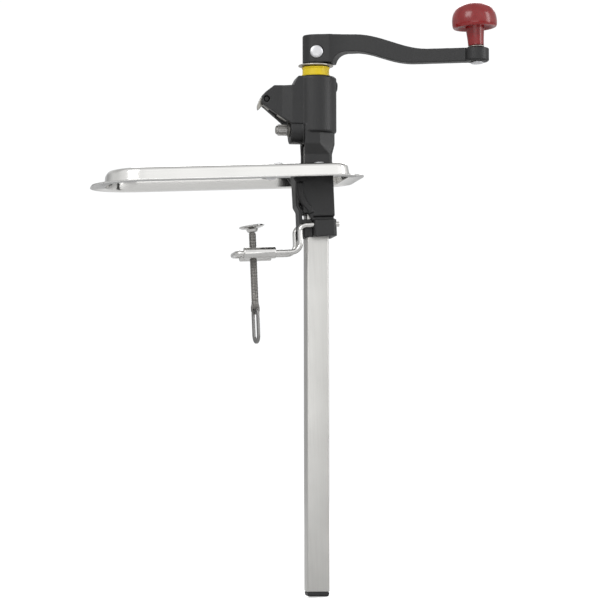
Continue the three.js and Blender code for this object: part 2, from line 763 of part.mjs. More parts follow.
function barScrew(level) {
  const inner = barHalf + 2 * restGap;
  const screw = turned([[0, inner], [2.6, inner], [2.6, columnHalf - 3.6], [2.2, columnHalf - 3.2],
    [0, columnHalf - 3.2]], 20);
  const socket = turned([[0, columnHalf - 5], [1.3, columnHalf - 5], [1.3, columnHalf],
    [0, columnHalf]], 6);
  return cut(screw, socket).rotate([-90, 0, 0]).translate([1, 0, level]);
}

// ---------------------------------------------------------------- gears, arbor and feed shaft

// A bevel gear about +Z whose pitch cone's apex is at the origin and whose teeth face it.
function bevelGear(bore, phase) {
  const outer = bevelPitchRadius;
  const inner = outer - bevelFace;
  const root = bevelToothHeight * 0.6;
  const blank = turned([
    [0, inner + root], [inner, inner + root], [outer + 0.2, outer + 0.2 + root],
    [outer + 0.2, outer + 1.4 + root], [0, outer + 1.4 + root],
  ], 32);
  const halfWidth = (Math.PI / bevelTeeth) * 0.36;
  const teeth = Array.from({ length: bevelTeeth }, (_, i) => {
    const angle = phase + (2 * Math.PI * i) / bevelTeeth;
    const ring = (radius, lift, spread) => [-1, 1].map((side) => {
      const turn = angle + side * halfWidth * spread;
      return [radius * Math.cos(turn), radius * Math.sin(turn), radius + lift];
    });
    const section = (radius) => {
      const low = ring(radius, root + 0.4, 1.15);
      const high = ring(radius, -root * (radius / outer), 0.7);
      return [high[0], high[1], low[1], low[0]];
    };
    return solid(lofted([section(inner), section(outer)]));
  });
  return cut(joined(blank, ...teeth), rod(bore, -5, outer + 10, { sides: 32 }));
}

const feedWheelRight = headLeftFace - feedBushFlangeThickness - 2 * restGap;

function crankPinBore() {
  const bore = rod(crankPinDiameter / 2 + restGap, -30, 30,
    { axis: 'y', at: [0, 0, crankPinLevel], sides: 24 });
  return bore.rotate([0, 0, crankPinTurn]);
}

function arbor() {
  const radius = arborDiameter / 2;
  const top = crankHubTop - 3;
  const foot = gearLevel + bevelPitchRadius - 0.4;
  const shaft = turned([
    [0, foot], [radius - 0.6, foot], [radius, foot + 0.6], [radius, top - 0.8], [radius - 0.8, top], [0,
      top],
  ], 32);
  return cut(shaft, crankPinBore());
}

function feedShaft() {
  const radius = feedShaftDiameter / 2;
  const left = feedWheelRight - feedWheelLength - restGap - feedCapLength;
  const right = -bevelPitchRadius + 0.4;
  const capRadius = feedWheelDiameter / 2 - 1.1;
  const shaft = turned([
    [0, left], [capRadius * 0.7, left], [capRadius, left + 0.7], [capRadius, left + feedCapLength],
    [radius, left + feedCapLength],
    [radius, right - 0.5], [radius - 0.5, right], [0, right],
  ], 32);
  return shaft.rotate([0, 90, 0]).translate([0, 0, gearLevel]);
}

function feedWheel() {
  const outer = feedWheelDiameter / 2;
  const root = outer - 0.75;
  const shape = new THREE.Shape();
  for (let i = 0; i < feedWheelTeeth; i += 1) {
    const step = (2 * Math.PI) / feedWheelTeeth;
    [[root, 0], [outer, 0.3], [outer, 0.5], [root, 0.8]].forEach(([radius, share], k) => {
      const angle = (i + share) * step;
      const point = [radius * Math.cos(angle), radius * Math.sin(angle)];
      if (i === 0 && k === 0) shape.moveTo(...point);
      else shape.lineTo(...point);
    });
  }
  const left = feedWheelRight - feedWheelLength;
  const wheel = raised(shape, left, feedWheelRight);
  const bored = cut(wheel, rod(feedShaftDiameter / 2 + restGap, left - 1, feedWheelRight + 1,
    { sides: 20 }));
  return bored.rotate([0, 90, 0]).translate([0, 0, gearLevel]);
}

function feedBush() {
  const flangeLeft = headLeftFace - restGap - feedBushFlangeThickness;
  const inner = -bevelPitchRadius - 1.4 - bevelToothHeight * 0.6 - 2 * restGap;
  const bush = turned([
    [0, flangeLeft], [feedBushFlange / 2 - 0.4, flangeLeft], [feedBushFlange / 2, flangeLeft + 0.4],
    [feedBushFlange / 2, headLeftFace - restGap], [feedBushOuter / 2, headLeftFace - restGap],
    [feedBushOuter / 2, inner], [0, inner],
  ], 36);
  const bore = rod(feedShaftDiameter / 2 + fitGap, flangeLeft - 1, inner + 1, { sides: 28 });
  return cut(bush, bore).rotate([0, 90, 0]).translate([0, 0, gearLevel]);
}

// ---------------------------------------------------------------- top bushing and washer

const bushTop = tubeTop + restGap + bushRise;
const washerBottom = bushTop + restGap;
const crankHubBottom = washerBottom + washerThickness + restGap;

function topBushing() {
  const bush = turned([
    [0, tubeTop - bushSpigotLength], [bushSpigot / 2 - 0.4, tubeTop - bushSpigotLength],
    [bushSpigot / 2, tubeTop - bushSpigotLength + 0.5], [bushSpigot / 2, tubeTop + restGap],
    [bushDiameter / 2, tubeTop + restGap], [bushDiameter / 2, bushTop - 0.6], [bushDiameter / 2 - 0.6,
      bushTop],
    [0, bushTop],
  ], 36);
  return cut(bush, rod(arborDiameter / 2 + fitGap, tubeTop - 40, bushTop + 5));
}

function thrustWasher() {
  const washer = turned([
    [0, washerBottom], [washerDiameter / 2 - 0.4, washerBottom], [washerDiameter / 2, washerBottom + 0.4],
    [washerDiameter / 2, washerBottom + washerThickness - 0.4],
    [washerDiameter / 2 - 0.4, washerBottom + washerThickness], [0, washerBottom + washerThickness],
  ], 36);
  return cut(washer, rod(arborCrankDiameter / 2 + fitGap, washerBottom - 5, washerBottom + 10));
}

// ---------------------------------------------------------------- crank, pin and stud
// Drawn with the arm along +X and turned to its rest direction by a group.

function crankArm() {
  const side = new THREE.Shape();
  side.moveTo(-crankHubRadius - 1, crankHubBottom);
  side.lineTo(16, crankHubBottom);
  side.quadraticCurveTo(18, 109, 27, 109.7);
  side.lineTo(36, 109.7);
  side.bezierCurveTo(52, 108.4, 64, 99.2, 84, crankBossBottom);
  side.lineTo(crankLength, crankBossBottom);
  side.lineTo(crankLength, crankBossTop);
  side.lineTo(96, crankBossTop);
  side.bezierCurveTo(74, 111, 58, 123.4, 36, 124.2);
  side.lineTo(14, crankHubTop);
  side.lineTo(-crankHubRadius + 3, crankHubTop);
  side.quadraticCurveTo(-crankHubRadius - 1, crankHubTop, -crankHubRadius - 1, crankHubTop - 5);
  const plan = new THREE.Shape();
  plan.moveTo(0, -crankHubRadius);
  plan.lineTo(crankHubBlock - 1, -crankHubRadius + 0.6);
  plan.quadraticCurveTo(crankHubBlock + 4, -crankRootHalf + 0.6, 34, -crankRootHalf + 1);
  plan.lineTo(84, -crankTipHalf - 0.4);
  plan.lineTo(crankLength, -crankTipHalf);
  plan.lineTo(crankLength, crankTipHalf);
  plan.lineTo(84, crankTipHalf + 0.4);
  plan.lineTo(34, crankRootHalf - 1);
  plan.quadraticCurveTo(crankHubBlock + 4, crankRootHalf - 0.6, crankHubBlock - 1, crankHubRadius - 0.6);
  plan.lineTo(0, crankHubRadius);
  plan.absarc(0, 0, crankHubRadius, Math.PI / 2, Math.PI * 1.5);
  const arm = sideways(side, -20, 20, 14).intersect(raised(plan, 90, 130, 14));
  const boss = turned([
    [0, crankBossBottom], [crankBossRadius - 1.2, crankBossBottom], [crankBossRadius,
      crankBossBottom + 1.2],
    [crankBossRadius, crankBossTop - 0.8], [crankBossRadius - 0.8, crankBossTop], [0, crankBossTop],
  ], 40).translate([crankLength, 0, 0]);
  const socket = rod(arborCrankDiameter / 2 + restGap, crankHubBottom - 1, crankHubTop - 3 + restGap);
  const studBore = rod(studDiameter / 2 + restGap, -40, 40, { sides: 24 });
  const spotFace = rod(crankPinHead / 2 + restGap, -30, -crankHubRadius,
    { axis: 'y', at: [0, 0, crankPinLevel], sides: 28 }).rotate([0, 0, crankPinTurn]);
  return cut(joined(arm, boss), socket, spotFace, crankPinBore(), onStud(studBore));
}

function crankPin() {
  const face = crankHubRadius + restGap;
  const radius = crankPinDiameter / 2;
  const head = crankPinHead / 2;
  const pin = turned([
    [0, -face - 2], [head * 0.75, -face - 1.9], [head, -face - 1], [head, -face], [radius,
      -face], [radius, face],
    [radius - 0.6, face + 0.8], [0, face + 0.8],
  ], 28);
  return pin.rotate([-90, 0, 0]).translate([0, 0, crankPinLevel]).rotate([0, 0, crankPinTurn]);
}

// The stud, its washer and the knob are drawn about the stud's axis, from the middle of the
// boss, and leaned together.
const bossMiddle = (crankBossTop + crankBossBottom) / 2;
const bossHalf = (crankBossTop - crankBossBottom) / 2;
const studHeadRadius = 5.6;
const studHeadHeight = 1.2;
const knobWasherRadius = 6.9;
const knobWasherBottom = bossHalf + restGap + knobWasherRadius * Math.sin(-degrees(knobLean));
const knobFoot = knobWasherBottom + 1 + restGap;

function onStud(shape) {
  return shape.rotate([0, knobLean, 0]).translate([crankLength, 0, bossMiddle]);
}

function knobStud() {
  const radius = studDiameter / 2;
  const seat = -bossHalf - restGap - studHeadRadius * Math.sin(-degrees(knobLean));
  const end = knobFoot + knobHeight - 9;
  return onStud(turned([
    [0, seat - studHeadHeight], [studHeadRadius - 1.2, seat - studHeadHeight], [studHeadRadius, seat - 0.5],
    [studHeadRadius, seat], [radius, seat], [radius, end], [radius - 0.6, end + 0.6], [0, end + 0.6],
  ], 28));
}

function knobWasher() {
  const ring = rod(knobWasherRadius, knobWasherBottom, knobWasherBottom + 1);
  return onStud(cut(ring, rod(studDiameter / 2 + fitGap, 0, 20, { sides: 28 })));
}

// ---------------------------------------------------------------- knob

function knob() {
  const top = knobFoot + knobHeight;
  const rim = top - knobCapHeight;
  const profile = new THREE.Path();
  profile.moveTo(0, knobFoot);
  profile.lineTo(knobFootRadius - 0.4, knobFoot);
  profile.lineTo(knobFootRadius, knobFoot + 0.5);
  profile.lineTo(knobStemRadius, rim + 1);
  profile.quadraticCurveTo(knobStemRadius + 0.4, rim + knobHollow, 11, rim + knobHollow);
  profile.lineTo(knobCapRadius - 4, rim + knobHollow - 0.8);
  profile.quadraticCurveTo(knobCapRadius - 2.6, rim + 0.2, knobCapRadius - 1.8, rim);
  profile.quadraticCurveTo(knobCapRadius - 0.6, rim, knobCapRadius - 0.3, rim + 1.6);
  profile.quadraticCurveTo(knobCapRadius + 0.4, rim + 7.5, knobCapRadius - 0.6, rim + 11);
  profile.bezierCurveTo(knobCapRadius - 2.6, top - 5, knobCapRadius - 8, top, 0, top);
  const points = profile.getPoints(4).map((point) => [Math.max(point.x, 0), point.y]);
  const body = turned(points, 32);
  const bore = turned([
    [0, knobFoot - 1], [studDiameter / 2 + fitGap, knobFoot - 1],
    [studDiameter / 2 + fitGap, knobFoot + knobHeight - 7.2], [0, knobFoot + knobHeight - 7.2],
  ], 32);
  return onStud(cut(body, bore));
}

// ---------------------------------------------------------------- assembly

const opener = new THREE.Group();

const base = new THREE.Group();
opener.add(base);
base.add(piece('base_plate', canPlate(), finish.polishedSteel));
base.add(piece('base_casting', baseCasting(), finish.castBlack));
rivetPlaces().forEach(([x, y], i) => {
  const rivet = piece(`plate_rivet_${i + 1}`, plateRivet(), finish.satinSteel);
  rivet.position.set(x, y, 0);
  base.add(rivet);
});
base.add(piece('clamp_yoke', clampYoke(), finish.polishedSteel));
base.add(piece('saddle_plate', saddlePlate(), finish.polishedSteel));
base.add(piece('saddle_nut', saddleNut(), finish.satinSteel));

const screwGroup = new THREE.Group();
screwGroup.position.x = screwX;
screwGroup.rotation.z = degrees(screwTurned);
base.add(screwGroup);
screwGroup.add(piece('clamp_screw', clampScrew(), finish.darkSteel));
screwGroup.add(piece('screw_loop', screwLoop(), finish.darkSteel));

// The pad leans on the ball at the screw's tip.
const pad = piece('clamp_pad', clampPad(), finish.polishedSteel);
pad.position.set(screwX, 0, screwTop + 1);
pad.rotation.y = degrees(padLean);
base.add(pad);

// The bar and all it carries lean in the sleeve about the sleeve's middle.
const leaning = new THREE.Group();
leaning.position.z = sleeveMiddle;
leaning.rotation.y = lean;
opener.add(leaning);
const slider = new THREE.Group();
slider.position.z = -sleeveMiddle;
leaning.add(slider);
slider.add(piece('bar', squareBar(), finish.satinSteel));
slider.add(piece('bar_end_plug', barEndPlug(), finish.blackPlastic));
slider.add(piece('head_casting', headCasting(), finish.castBlack));
barScrewLevels.forEach((level, i) => {
  slider.add(piece(`bar_screw_${i + 1}`, barScrew(level), finish.darkSteel));
});
slider.add(piece('knife_blade', knifeBlade(), finish.satinSteel));
slider.add(piece('knife_block', knifeBlock(), finish.satinSteel));
slider.add(piece('knife_screw', knifeScrew(), finish.darkSteel));
slider.add(piece('feed_bush', feedBush(), finish.satinSteel));
slider.add(piece('top_bushing', topBushing(), finish.yellowPlastic));
slider.add(piece('thrust_washer', thrustWasher(), finish.polishedSteel));

slider.add(piece('feed_wheel', feedWheel(), finish.satinSteel));
slider.add(piece('feed_shaft', feedShaft(), finish.satinSteel));
const drivenGear = bevelGear(feedShaftDiameter / 2 + restGap,
  0).rotate([0, -90, 0]).translate([0, 0, gearLevel]);
slider.add(piece('driven_gear', drivenGear, finish.satinSteel));

const crank = new THREE.Group();
crank.rotation.z = degrees(crankTurn);
slider.add(crank);
const gearPhase = Math.PI / bevelTeeth - degrees(crankTurn);
const drivingGear = bevelGear(arborDiameter / 2 + restGap, gearPhase).translate([0, 0, gearLevel]);
crank.add(piece('driving_gear', drivingGear, finish.satinSteel));
crank.add(piece('arbor', arbor(), finish.satinSteel));
crank.add(piece('crank_arm', crankArm(), finish.castBlack));
crank.add(piece('crank_pin', crankPin(), finish.satinSteel));
crank.add(piece('knob_stud', knobStud(), finish.satinSteel));
crank.add(piece('knob_washer', knobWasher(), finish.satinSteel));
crank.add(piece('knob', knob(), finish.redPlastic));

export default opener;
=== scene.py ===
# %% [markdown]
# # A table-mount can opener
# The object is an assembly: a base casting and a can plate are clamped to a table, a square bar
# slides through them with a cutting head on top, and a crank turns a feed wheel through bevel
# gears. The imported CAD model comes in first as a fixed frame. Every visible piece below is made
# around it, in metres, in the same place, so no fitting is needed.

# %% Load the frame
import math

import bmesh
import bpy
from mathutils import Matrix, Vector


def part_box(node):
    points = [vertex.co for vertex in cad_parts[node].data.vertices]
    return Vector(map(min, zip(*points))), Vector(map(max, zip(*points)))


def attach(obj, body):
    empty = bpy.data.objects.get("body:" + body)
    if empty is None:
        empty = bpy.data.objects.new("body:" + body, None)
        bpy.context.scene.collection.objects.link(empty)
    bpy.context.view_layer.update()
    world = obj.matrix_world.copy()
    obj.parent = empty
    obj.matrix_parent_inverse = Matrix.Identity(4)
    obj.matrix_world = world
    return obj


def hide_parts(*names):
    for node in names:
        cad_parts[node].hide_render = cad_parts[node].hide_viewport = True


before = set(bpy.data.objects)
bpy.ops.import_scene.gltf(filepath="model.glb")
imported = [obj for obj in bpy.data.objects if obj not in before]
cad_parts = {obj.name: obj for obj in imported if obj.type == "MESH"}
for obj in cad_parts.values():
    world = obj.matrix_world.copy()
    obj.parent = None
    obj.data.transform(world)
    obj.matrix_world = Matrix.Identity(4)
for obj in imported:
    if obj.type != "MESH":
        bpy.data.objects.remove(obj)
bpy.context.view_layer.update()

MM = 0.001

# %% [markdown]
# ## Where things stand
# The bar leans by two degrees in its sleeve, the crank is turned on the arbor and the knob's stud
# leans on the crank. Each of those is one matrix here, so that a piece can be drawn upright about
# its own axis and then put in its place.

# %% The sliding part's, the crank's and the stud's places
BAR_LEAN = math.radians(2.2)
SLEEVE_MIDDLE = -17.0
CRANK_TURN = math.radians(-19)
CRANK_LENGTH = 137.5
BOSS_MIDDLE = 104.6
BOSS_HALF = 5.8
STUD_LEAN = math.radians(-3.4)
PIN_TURN = math.radians(13)
PIN_LEVEL = 109.8
GEAR_LEVEL = 43.8
SCREW_X = -55.6
SCREW_TURN = math.radians(-78)
PAD_PIVOT = -39.2
PAD_LEAN = math.radians(-6.5)


def moved(x=0.0, y=0.0, z=0.0):
    return Matrix.Translation((x, y, z))


def turned(angle, axis):
    return Matrix.Rotation(angle, 4, axis)


UPRIGHT = Matrix.Identity(4)
SLIDER = moved(z=SLEEVE_MIDDLE) @ turned(BAR_LEAN, "Y") @ moved(z=-SLEEVE_MIDDLE)
CRANK = SLIDER @ turned(CRANK_TURN, "Z")
STUD = CRANK @ moved(CRANK_LENGTH, 0, BOSS_MIDDLE) @ turned(STUD_LEAN, "Y")
PIN = CRANK @ moved(z=PIN_LEVEL) @ turned(PIN_TURN, "Z") @ turned(math.radians(90), "X")
FEED = SLIDER @ moved(z=GEAR_LEVEL) @ turned(math.radians(90), "Y")
SCREW = moved(SCREW_X) @ turned(SCREW_TURN, "Z")
PAD = moved(SCREW_X, 0, PAD_PIVOT) @ turned(PAD_LEAN, "Y")
print("crank pin at", [round(v, 1) for v in PIN.translation])

# %% [markdown]
# ## Camera
# A long lens a little below the can plate looks slightly upwards, from just left of the front, so
# the undersides of the plate and of the crank show. The picture's square frame holds the whole
# opener, from the bar's foot to the knob.

# %% A helper that puts a new object in the scene
def in_scene(name, data):
    thing = bpy.data.objects.new(name, data)
    bpy.context.scene.collection.objects.link(thing)
    return thing


# %% Place the camera
CAMERA_TARGET = Vector((-17.146, 0.0, -99.911)) * MM
CAMERA_DISTANCE = 2115.36 * MM
CAMERA_YAW, CAMERA_PITCH, CAMERA_ROLL = (math.radians(a) for a in (8.82, 2.921, -2.279))
LENS, SENSOR, FAR_LIMIT = 150, 36, 100

forward = Vector((
    math.sin(CAMERA_YAW) * math.cos(CAMERA_PITCH),
    math.cos(CAMERA_YAW) * math.cos(CAMERA_PITCH),
    math.sin(CAMERA_PITCH),
))
level_right = Vector((math.cos(CAMERA_YAW), -math.sin(CAMERA_YAW), 0.0))
level_up = level_right.cross(forward)
right = level_right * math.cos(CAMERA_ROLL) + level_up * math.sin(CAMERA_ROLL)
up = -level_right * math.sin(CAMERA_ROLL) + level_up * math.cos(CAMERA_ROLL)
camera_data = bpy.data.cameras.new("long_lens")
camera_data.lens = LENS
camera_data.sensor_width = SENSOR
camera_data.clip_end = FAR_LIMIT
camera = in_scene("long_lens", camera_data)
camera.matrix_world = Matrix((
    (right.x, up.x, -forward.x, 0),
    (right.y, up.y, -forward.y, 0),
    (right.z, up.z, -forward.z, 0),
    (0, 0, 0, 1),
))
camera.location = CAMERA_TARGET - forward * CAMERA_DISTANCE
bpy.context.scene.camera = camera
bpy.context.scene.view_settings.view_transform = "Standard"
print("camera at", [round(v, 3) for v in camera.location])

# %% [markdown]
# ## Light and floor
# Polished steel shows what is around it, so its look is mostly a matter of lights. One broad soft
# lamp stands at the upper left, one at the right, one behind, and a low one lights the undersides.

# %% Soft lamps
def soft_lamp(name, place, aim, size, watts):
    lamp = bpy.data.lights.new(name, "AREA")
    lamp.shape = "RECTANGLE"
    lamp.size, lamp.size_y = size
    lamp.energy = watts
    holder = in_scene(name, lamp)
    holder.location = place
    holder.rotation_euler = (Vector(aim) - Vector(place)).to_track_quat("-Z", "Y").to_euler()


soft_lamp("upper_left_lamp", (-1.5, -1.6, 1.5), (0, 0, 0), (1.3, 1.3), 24)
soft_lamp("right_lamp", (1.9, -0.9, 0.5), (0, 0, 0), (0.6, 1.6), 13)
soft_lamp("low_lamp", (-0.4, -2.4, -0.2), (0, 0, -0.05), (1.6, 0.6), 5)
soft_lamp("back_lamp", (0.6, 1.9, 1.2), (0, 0, 0), (1.4, 1.0), 14)

# %% [markdown]
# ## World
# A real room would light every surface alike, but one strength can't keep black paint black and
# polished steel bright. So the world's strength depends on the kind of ray. What the camera sees is
# pale and even. Rays that light painted surfaces find a dimmer room. Rays that a polished surface
# sends out find it brighter in front, darker behind, and softly uneven.

# %% Helpers for node values
def set_or_link(tree, socket, value):
    """A value is a number or a colour to set, a socket to link, or None to leave alone."""
    if isinstance(value, bpy.types.NodeSocket):
        tree.links.new(value, socket)
    elif value is not None:
        socket.default_value = value


def math_node(tree, operation, *values, clamp=False):
    node = tree.nodes.new("ShaderNodeMath")
    node.operation = operation
    node.use_clamp = clamp
    for socket, value in zip(node.inputs, values):
        set_or_link(tree, socket, value)
    return node.outputs[0]


# %% The room that the surfaces see
ROOM_STRENGTH, ROOM_DIMMING = 1.06, 0.56
FRONT_GLOW, BACK_FALL, PATCHINESS, PATCH_SCALE = 0.92, 0.42, 0.9, 1.7
world = bpy.data.worlds.new("pale_room")
world.use_nodes = True
room = world.node_tree
backdrop = room.nodes["Background"]
backdrop.inputs["Color"].default_value = (0.97, 0.975, 0.98, 1)
ray = room.nodes.new("ShaderNodeLightPath").outputs
plain = math_node(room, "MULTIPLY_ADD", ray["Is Diffuse Ray"], -ROOM_DIMMING, ROOM_STRENGTH)
direction = room.nodes.new("ShaderNodeTexCoord").outputs["Generated"]
axes = room.nodes.new("ShaderNodeSeparateXYZ")
room.links.new(direction, axes.inputs[0])
patches = room.nodes.new("ShaderNodeTexNoise")
patches.inputs["Scale"].default_value = PATCH_SCALE
patches.inputs["Detail"].default_value = 0.0
room.links.new(direction, patches.inputs["Vector"])
glossy_base = FRONT_GLOW - PATCHINESS / 2 - ROOM_STRENGTH
seen = math_node(room, "MULTIPLY_ADD", patches.outputs["Fac"], PATCHINESS, glossy_base)
seen = math_node(room, "MULTIPLY_ADD", axes.outputs["Y"], -BACK_FALL, seen)
room_light = math_node(room, "MULTIPLY_ADD", ray["Is Glossy Ray"], seen, plain)
room.links.new(room_light, backdrop.inputs["Strength"])
bpy.context.scene.world = world
print("world:", world.name, "with", len(room.nodes), "nodes")

# %% [markdown]
# ## Floor
# The floor is a plain pale sheet that runs to the horizon, just under the bar's foot.

# %% Floor sheet
FLOOR_LEVEL = -0.3505
HALF_FLOOR = 30
floor_mesh = bpy.data.meshes.new("floor")
floor_corners = [(x * HALF_FLOOR, y * HALF_FLOOR, FLOOR_LEVEL) for x, y in ((-1, -1), (1, -1), (1, 1), (-1, 1))]
floor_mesh.from_pydata(floor_corners, [], [(0, 1, 2, 3)])
floor = in_scene("floor", floor_mesh)
print("floor level:", FLOOR_LEVEL)

# %% [markdown]
# ## Shared effects
# Several finishes need the same effects: the grain of a sand casting, streaks left by brushing or
# rolling, metal rubbed bright along edges, and dust with finger marks. Each is a node group with
# named inputs, built once. A group gives out only a mask or a value, and each finish decides what
# to do with it.

# %% Helpers for a group
def effect_group(name, inputs, outputs):
    group = bpy.data.node_groups.new(name, "ShaderNodeTree")
    for label, kind, value in inputs:
        socket = group.interface.new_socket(name=label, in_out="INPUT", socket_type=kind)
        socket.default_value = value
    for label, kind in outputs:
        group.interface.new_socket(name=label, in_out="OUTPUT", socket_type=kind)
    return group, group.nodes.new("NodeGroupInput"), group.nodes.new("NodeGroupOutput")


def noise_node(tree, vector, scale, detail=3.0, rough=0.55):
    node = tree.nodes.new("ShaderNodeTexNoise")
    tree.links.new(vector, node.inputs["Vector"])
    for label, value in (("Scale", scale), ("Detail", detail), ("Roughness", rough)):
        set_or_link(tree, node.inputs[label], value)
    return node.outputs["Fac"]


def object_place(tree):
    return tree.nodes.new("ShaderNodeTexCoord").outputs["Object"]


# %% Cast grain: fine pits and slow swells
grain, grain_in, grain_out = effect_group(
    "cast_grain", [("Grains per metre", "NodeSocketFloat", 900.0), ("Swell", "NodeSocketFloat", 0.3)],
    [("Height", "NodeSocketFloat"), ("Tone", "NodeSocketFloat")])
grain_place = object_place(grain)
fine = noise_node(grain, grain_place, grain_in.outputs["Grains per metre"], 4.0, 0.6)
slow = noise_node(grain, grain_place, 60.0, 2.0)
swollen = math_node(grain, "MULTIPLY", slow, grain_in.outputs["Swell"])
grain.links.new(math_node(grain, "ADD", fine, swollen), grain_out.inputs["Height"])
grain.links.new(math_node(grain, "MULTIPLY", fine, slow), grain_out.inputs["Tone"])

# %% Streaks: long thin marks along one direction
streaks, streaks_in, streaks_out = effect_group(
    "brushed_streaks", [("Stretch", "NodeSocketVector", (1.0, 1.0, 1.0))],
    [("Height", "NodeSocketFloat"), ("Tone", "NodeSocketFloat")])
streaks_place = object_place(streaks)
stretched = streaks.nodes.new("ShaderNodeVectorMath")
stretched.operation = "MULTIPLY"
streaks.links.new(streaks_place, stretched.inputs[0])
streaks.links.new(streaks_in.outputs["Stretch"], stretched.inputs[1])
lines = noise_node(streaks, stretched.outputs[0], 1.0, 5.0, 0.7)
streaks.links.new(lines, streaks_out.inputs["Height"])
cloudy = noise_node(streaks, streaks_place, 25.0, 2.0)
streaks.links.new(math_node(streaks, "MULTIPLY", lines, cloudy), streaks_out.inputs["Tone"])

# %% Edge wear: a mask that is strong where the surface turns sharply
wear, wear_in, wear_out = effect_group(
    "edge_wear", [("Width", "NodeSocketFloat", 0.0006), ("Amount", "NodeSocketFloat", 1.0)],
    [("Mask", "NodeSocketFloat")])
rounded = wear.nodes.new("ShaderNodeBevel")
rounded.samples = 4
wear.links.new(wear_in.outputs["Width"], rounded.inputs["Radius"])
surface = wear.nodes.new("ShaderNodeNewGeometry")
likeness = wear.nodes.new("ShaderNodeVectorMath")
likeness.operation = "DOT_PRODUCT"
wear.links.new(rounded.outputs["Normal"], likeness.inputs[0])
wear.links.new(surface.outputs["Normal"], likeness.inputs[1])
difference = math_node(wear, "SUBTRACT", 1.0, likeness.outputs["Value"])
turn = math_node(wear, "MULTIPLY", difference, 6.0, clamp=True)
wear_place = object_place(wear)
patchy = math_node(wear, "MULTIPLY", turn, noise_node(wear, wear_place, 180.0, 4.0))
worn = math_node(wear, "MULTIPLY", patchy, wear_in.outputs["Amount"], clamp=True)
wear.links.new(worn, wear_out.inputs["Mask"])

# %% Dust and finger marks
marks, marks_in, marks_out = effect_group(
    "dust_and_marks", [("Scale", "NodeSocketFloat", 40.0), ("Amount", "NodeSocketFloat", 0.5)],
    [("Dust", "NodeSocketFloat"), ("Smudge", "NodeSocketFloat")])
marks_place = object_place(marks)
specks = noise_node(marks, marks_place, 1400.0, 2.0)
speckled = math_node(marks, "MULTIPLY", math_node(marks, "SUBTRACT", specks, 0.62), 8.0, clamp=True)
dusty = math_node(marks, "MULTIPLY", speckled, marks_in.outputs["Amount"])
marks.links.new(dusty, marks_out.inputs["Dust"])
smear = noise_node(marks, marks_place, marks_in.outputs["Scale"], 3.0, 0.65)
smudged = math_node(marks, "MULTIPLY", smear, marks_in.outputs["Amount"])
marks.links.new(smudged, marks_out.inputs["Smudge"])
print("effect groups:", [g.name for g in (grain, streaks, wear, marks)])

# %% [markdown]
# ## Finishes
# Every finish is a Principled BSDF with its own colour, metalness and gloss. The groups above feed
# its base colour, roughness and a bump. One recipe takes the values, since all finishes on this
# opener are either painted or bare metal, or a moulded plastic. The floor's paper also glows, but
# only for the camera's own rays, so it looks pale without lighting the opener from below.

# %% The recipe of a finish
def linear(red, green, blue):
    def channel(value):
        value /= 255
        return value / 12.92 if value <= 0.04045 else ((value + 0.055) / 1.055) ** 2.4
    return (channel(red), channel(green), channel(blue), 1.0)


def place_group(tree, group, **values):
    node = tree.nodes.new("ShaderNodeGroup")
    node.node_tree = group
    for label, value in values.items():
        node.inputs[label.replace("_", " ")].default_value = value
    return node


def mixed(tree, factor, first, second):
    node = tree.nodes.new("ShaderNodeMix")
    node.data_type = "RGBA"
    for label, value in (("Factor", factor), ("A", first), ("B", second)):
        set_or_link(tree, node.inputs[label], value)
    return node.outputs["Result"]


def finish(name, colour, second, rough, metal=0.0, coat=0.0, bump=0.0002, grains=None, swell=0.3,
           stretch=None, worn=None, wear_width=0.0006, wear_amount=1.0, dust=0.3, rough_spread=0.15):
    """A paint, metal or plastic. second is the colour it drifts to, worn the colour rubbed edges show."""
    material = bpy.data.materials.new(name)
    material.use_nodes = True
    tree = material.node_tree
    shader = tree.nodes["Principled BSDF"]
    shader.inputs["Metallic"].default_value = metal
    shader.inputs["Coat Weight"].default_value = coat
    shader.inputs["Coat Roughness"].default_value = 0.12
    if stretch:
        texture = place_group(tree, streaks, Stretch=stretch)
    else:
        texture = place_group(tree, grain, Grains_per_metre=grains or 900.0, Swell=swell)
    dirt = place_group(tree, marks, Scale=35.0, Amount=dust)
    base = mixed(tree, texture.outputs["Tone"], colour, second)
    if worn:
        rubbed = place_group(tree, wear, Width=wear_width, Amount=wear_amount)
        base = mixed(tree, rubbed.outputs["Mask"], base, worn)
    pale = tuple(c * 0.85 + 0.12 for c in colour[:3]) + (1.0,)
    base = mixed(tree, math_node(tree, "MULTIPLY", dirt.outputs["Dust"], 0.35), base, pale)
    tree.links.new(base, shader.inputs["Base Color"])
    spread = math_node(tree, "MULTIPLY", dirt.outputs["Smudge"], rough_spread)
    grainy = math_node(tree, "MULTIPLY", texture.outputs["Height"], rough_spread)
    uneven = math_node(tree, "ADD", spread, grainy)
    gloss = math_node(tree, "ADD", uneven, rough - rough_spread / 2, clamp=True)
    tree.links.new(gloss, shader.inputs["Roughness"])
    relief = tree.nodes.new("ShaderNodeBump")
    relief.inputs["Distance"].default_value = bump
    relief.inputs["Strength"].default_value = 0.6
    tree.links.new(texture.outputs["Height"], relief.inputs["Height"])
    tree.links.new(relief.outputs["Normal"], shader.inputs["Normal"])
    return material


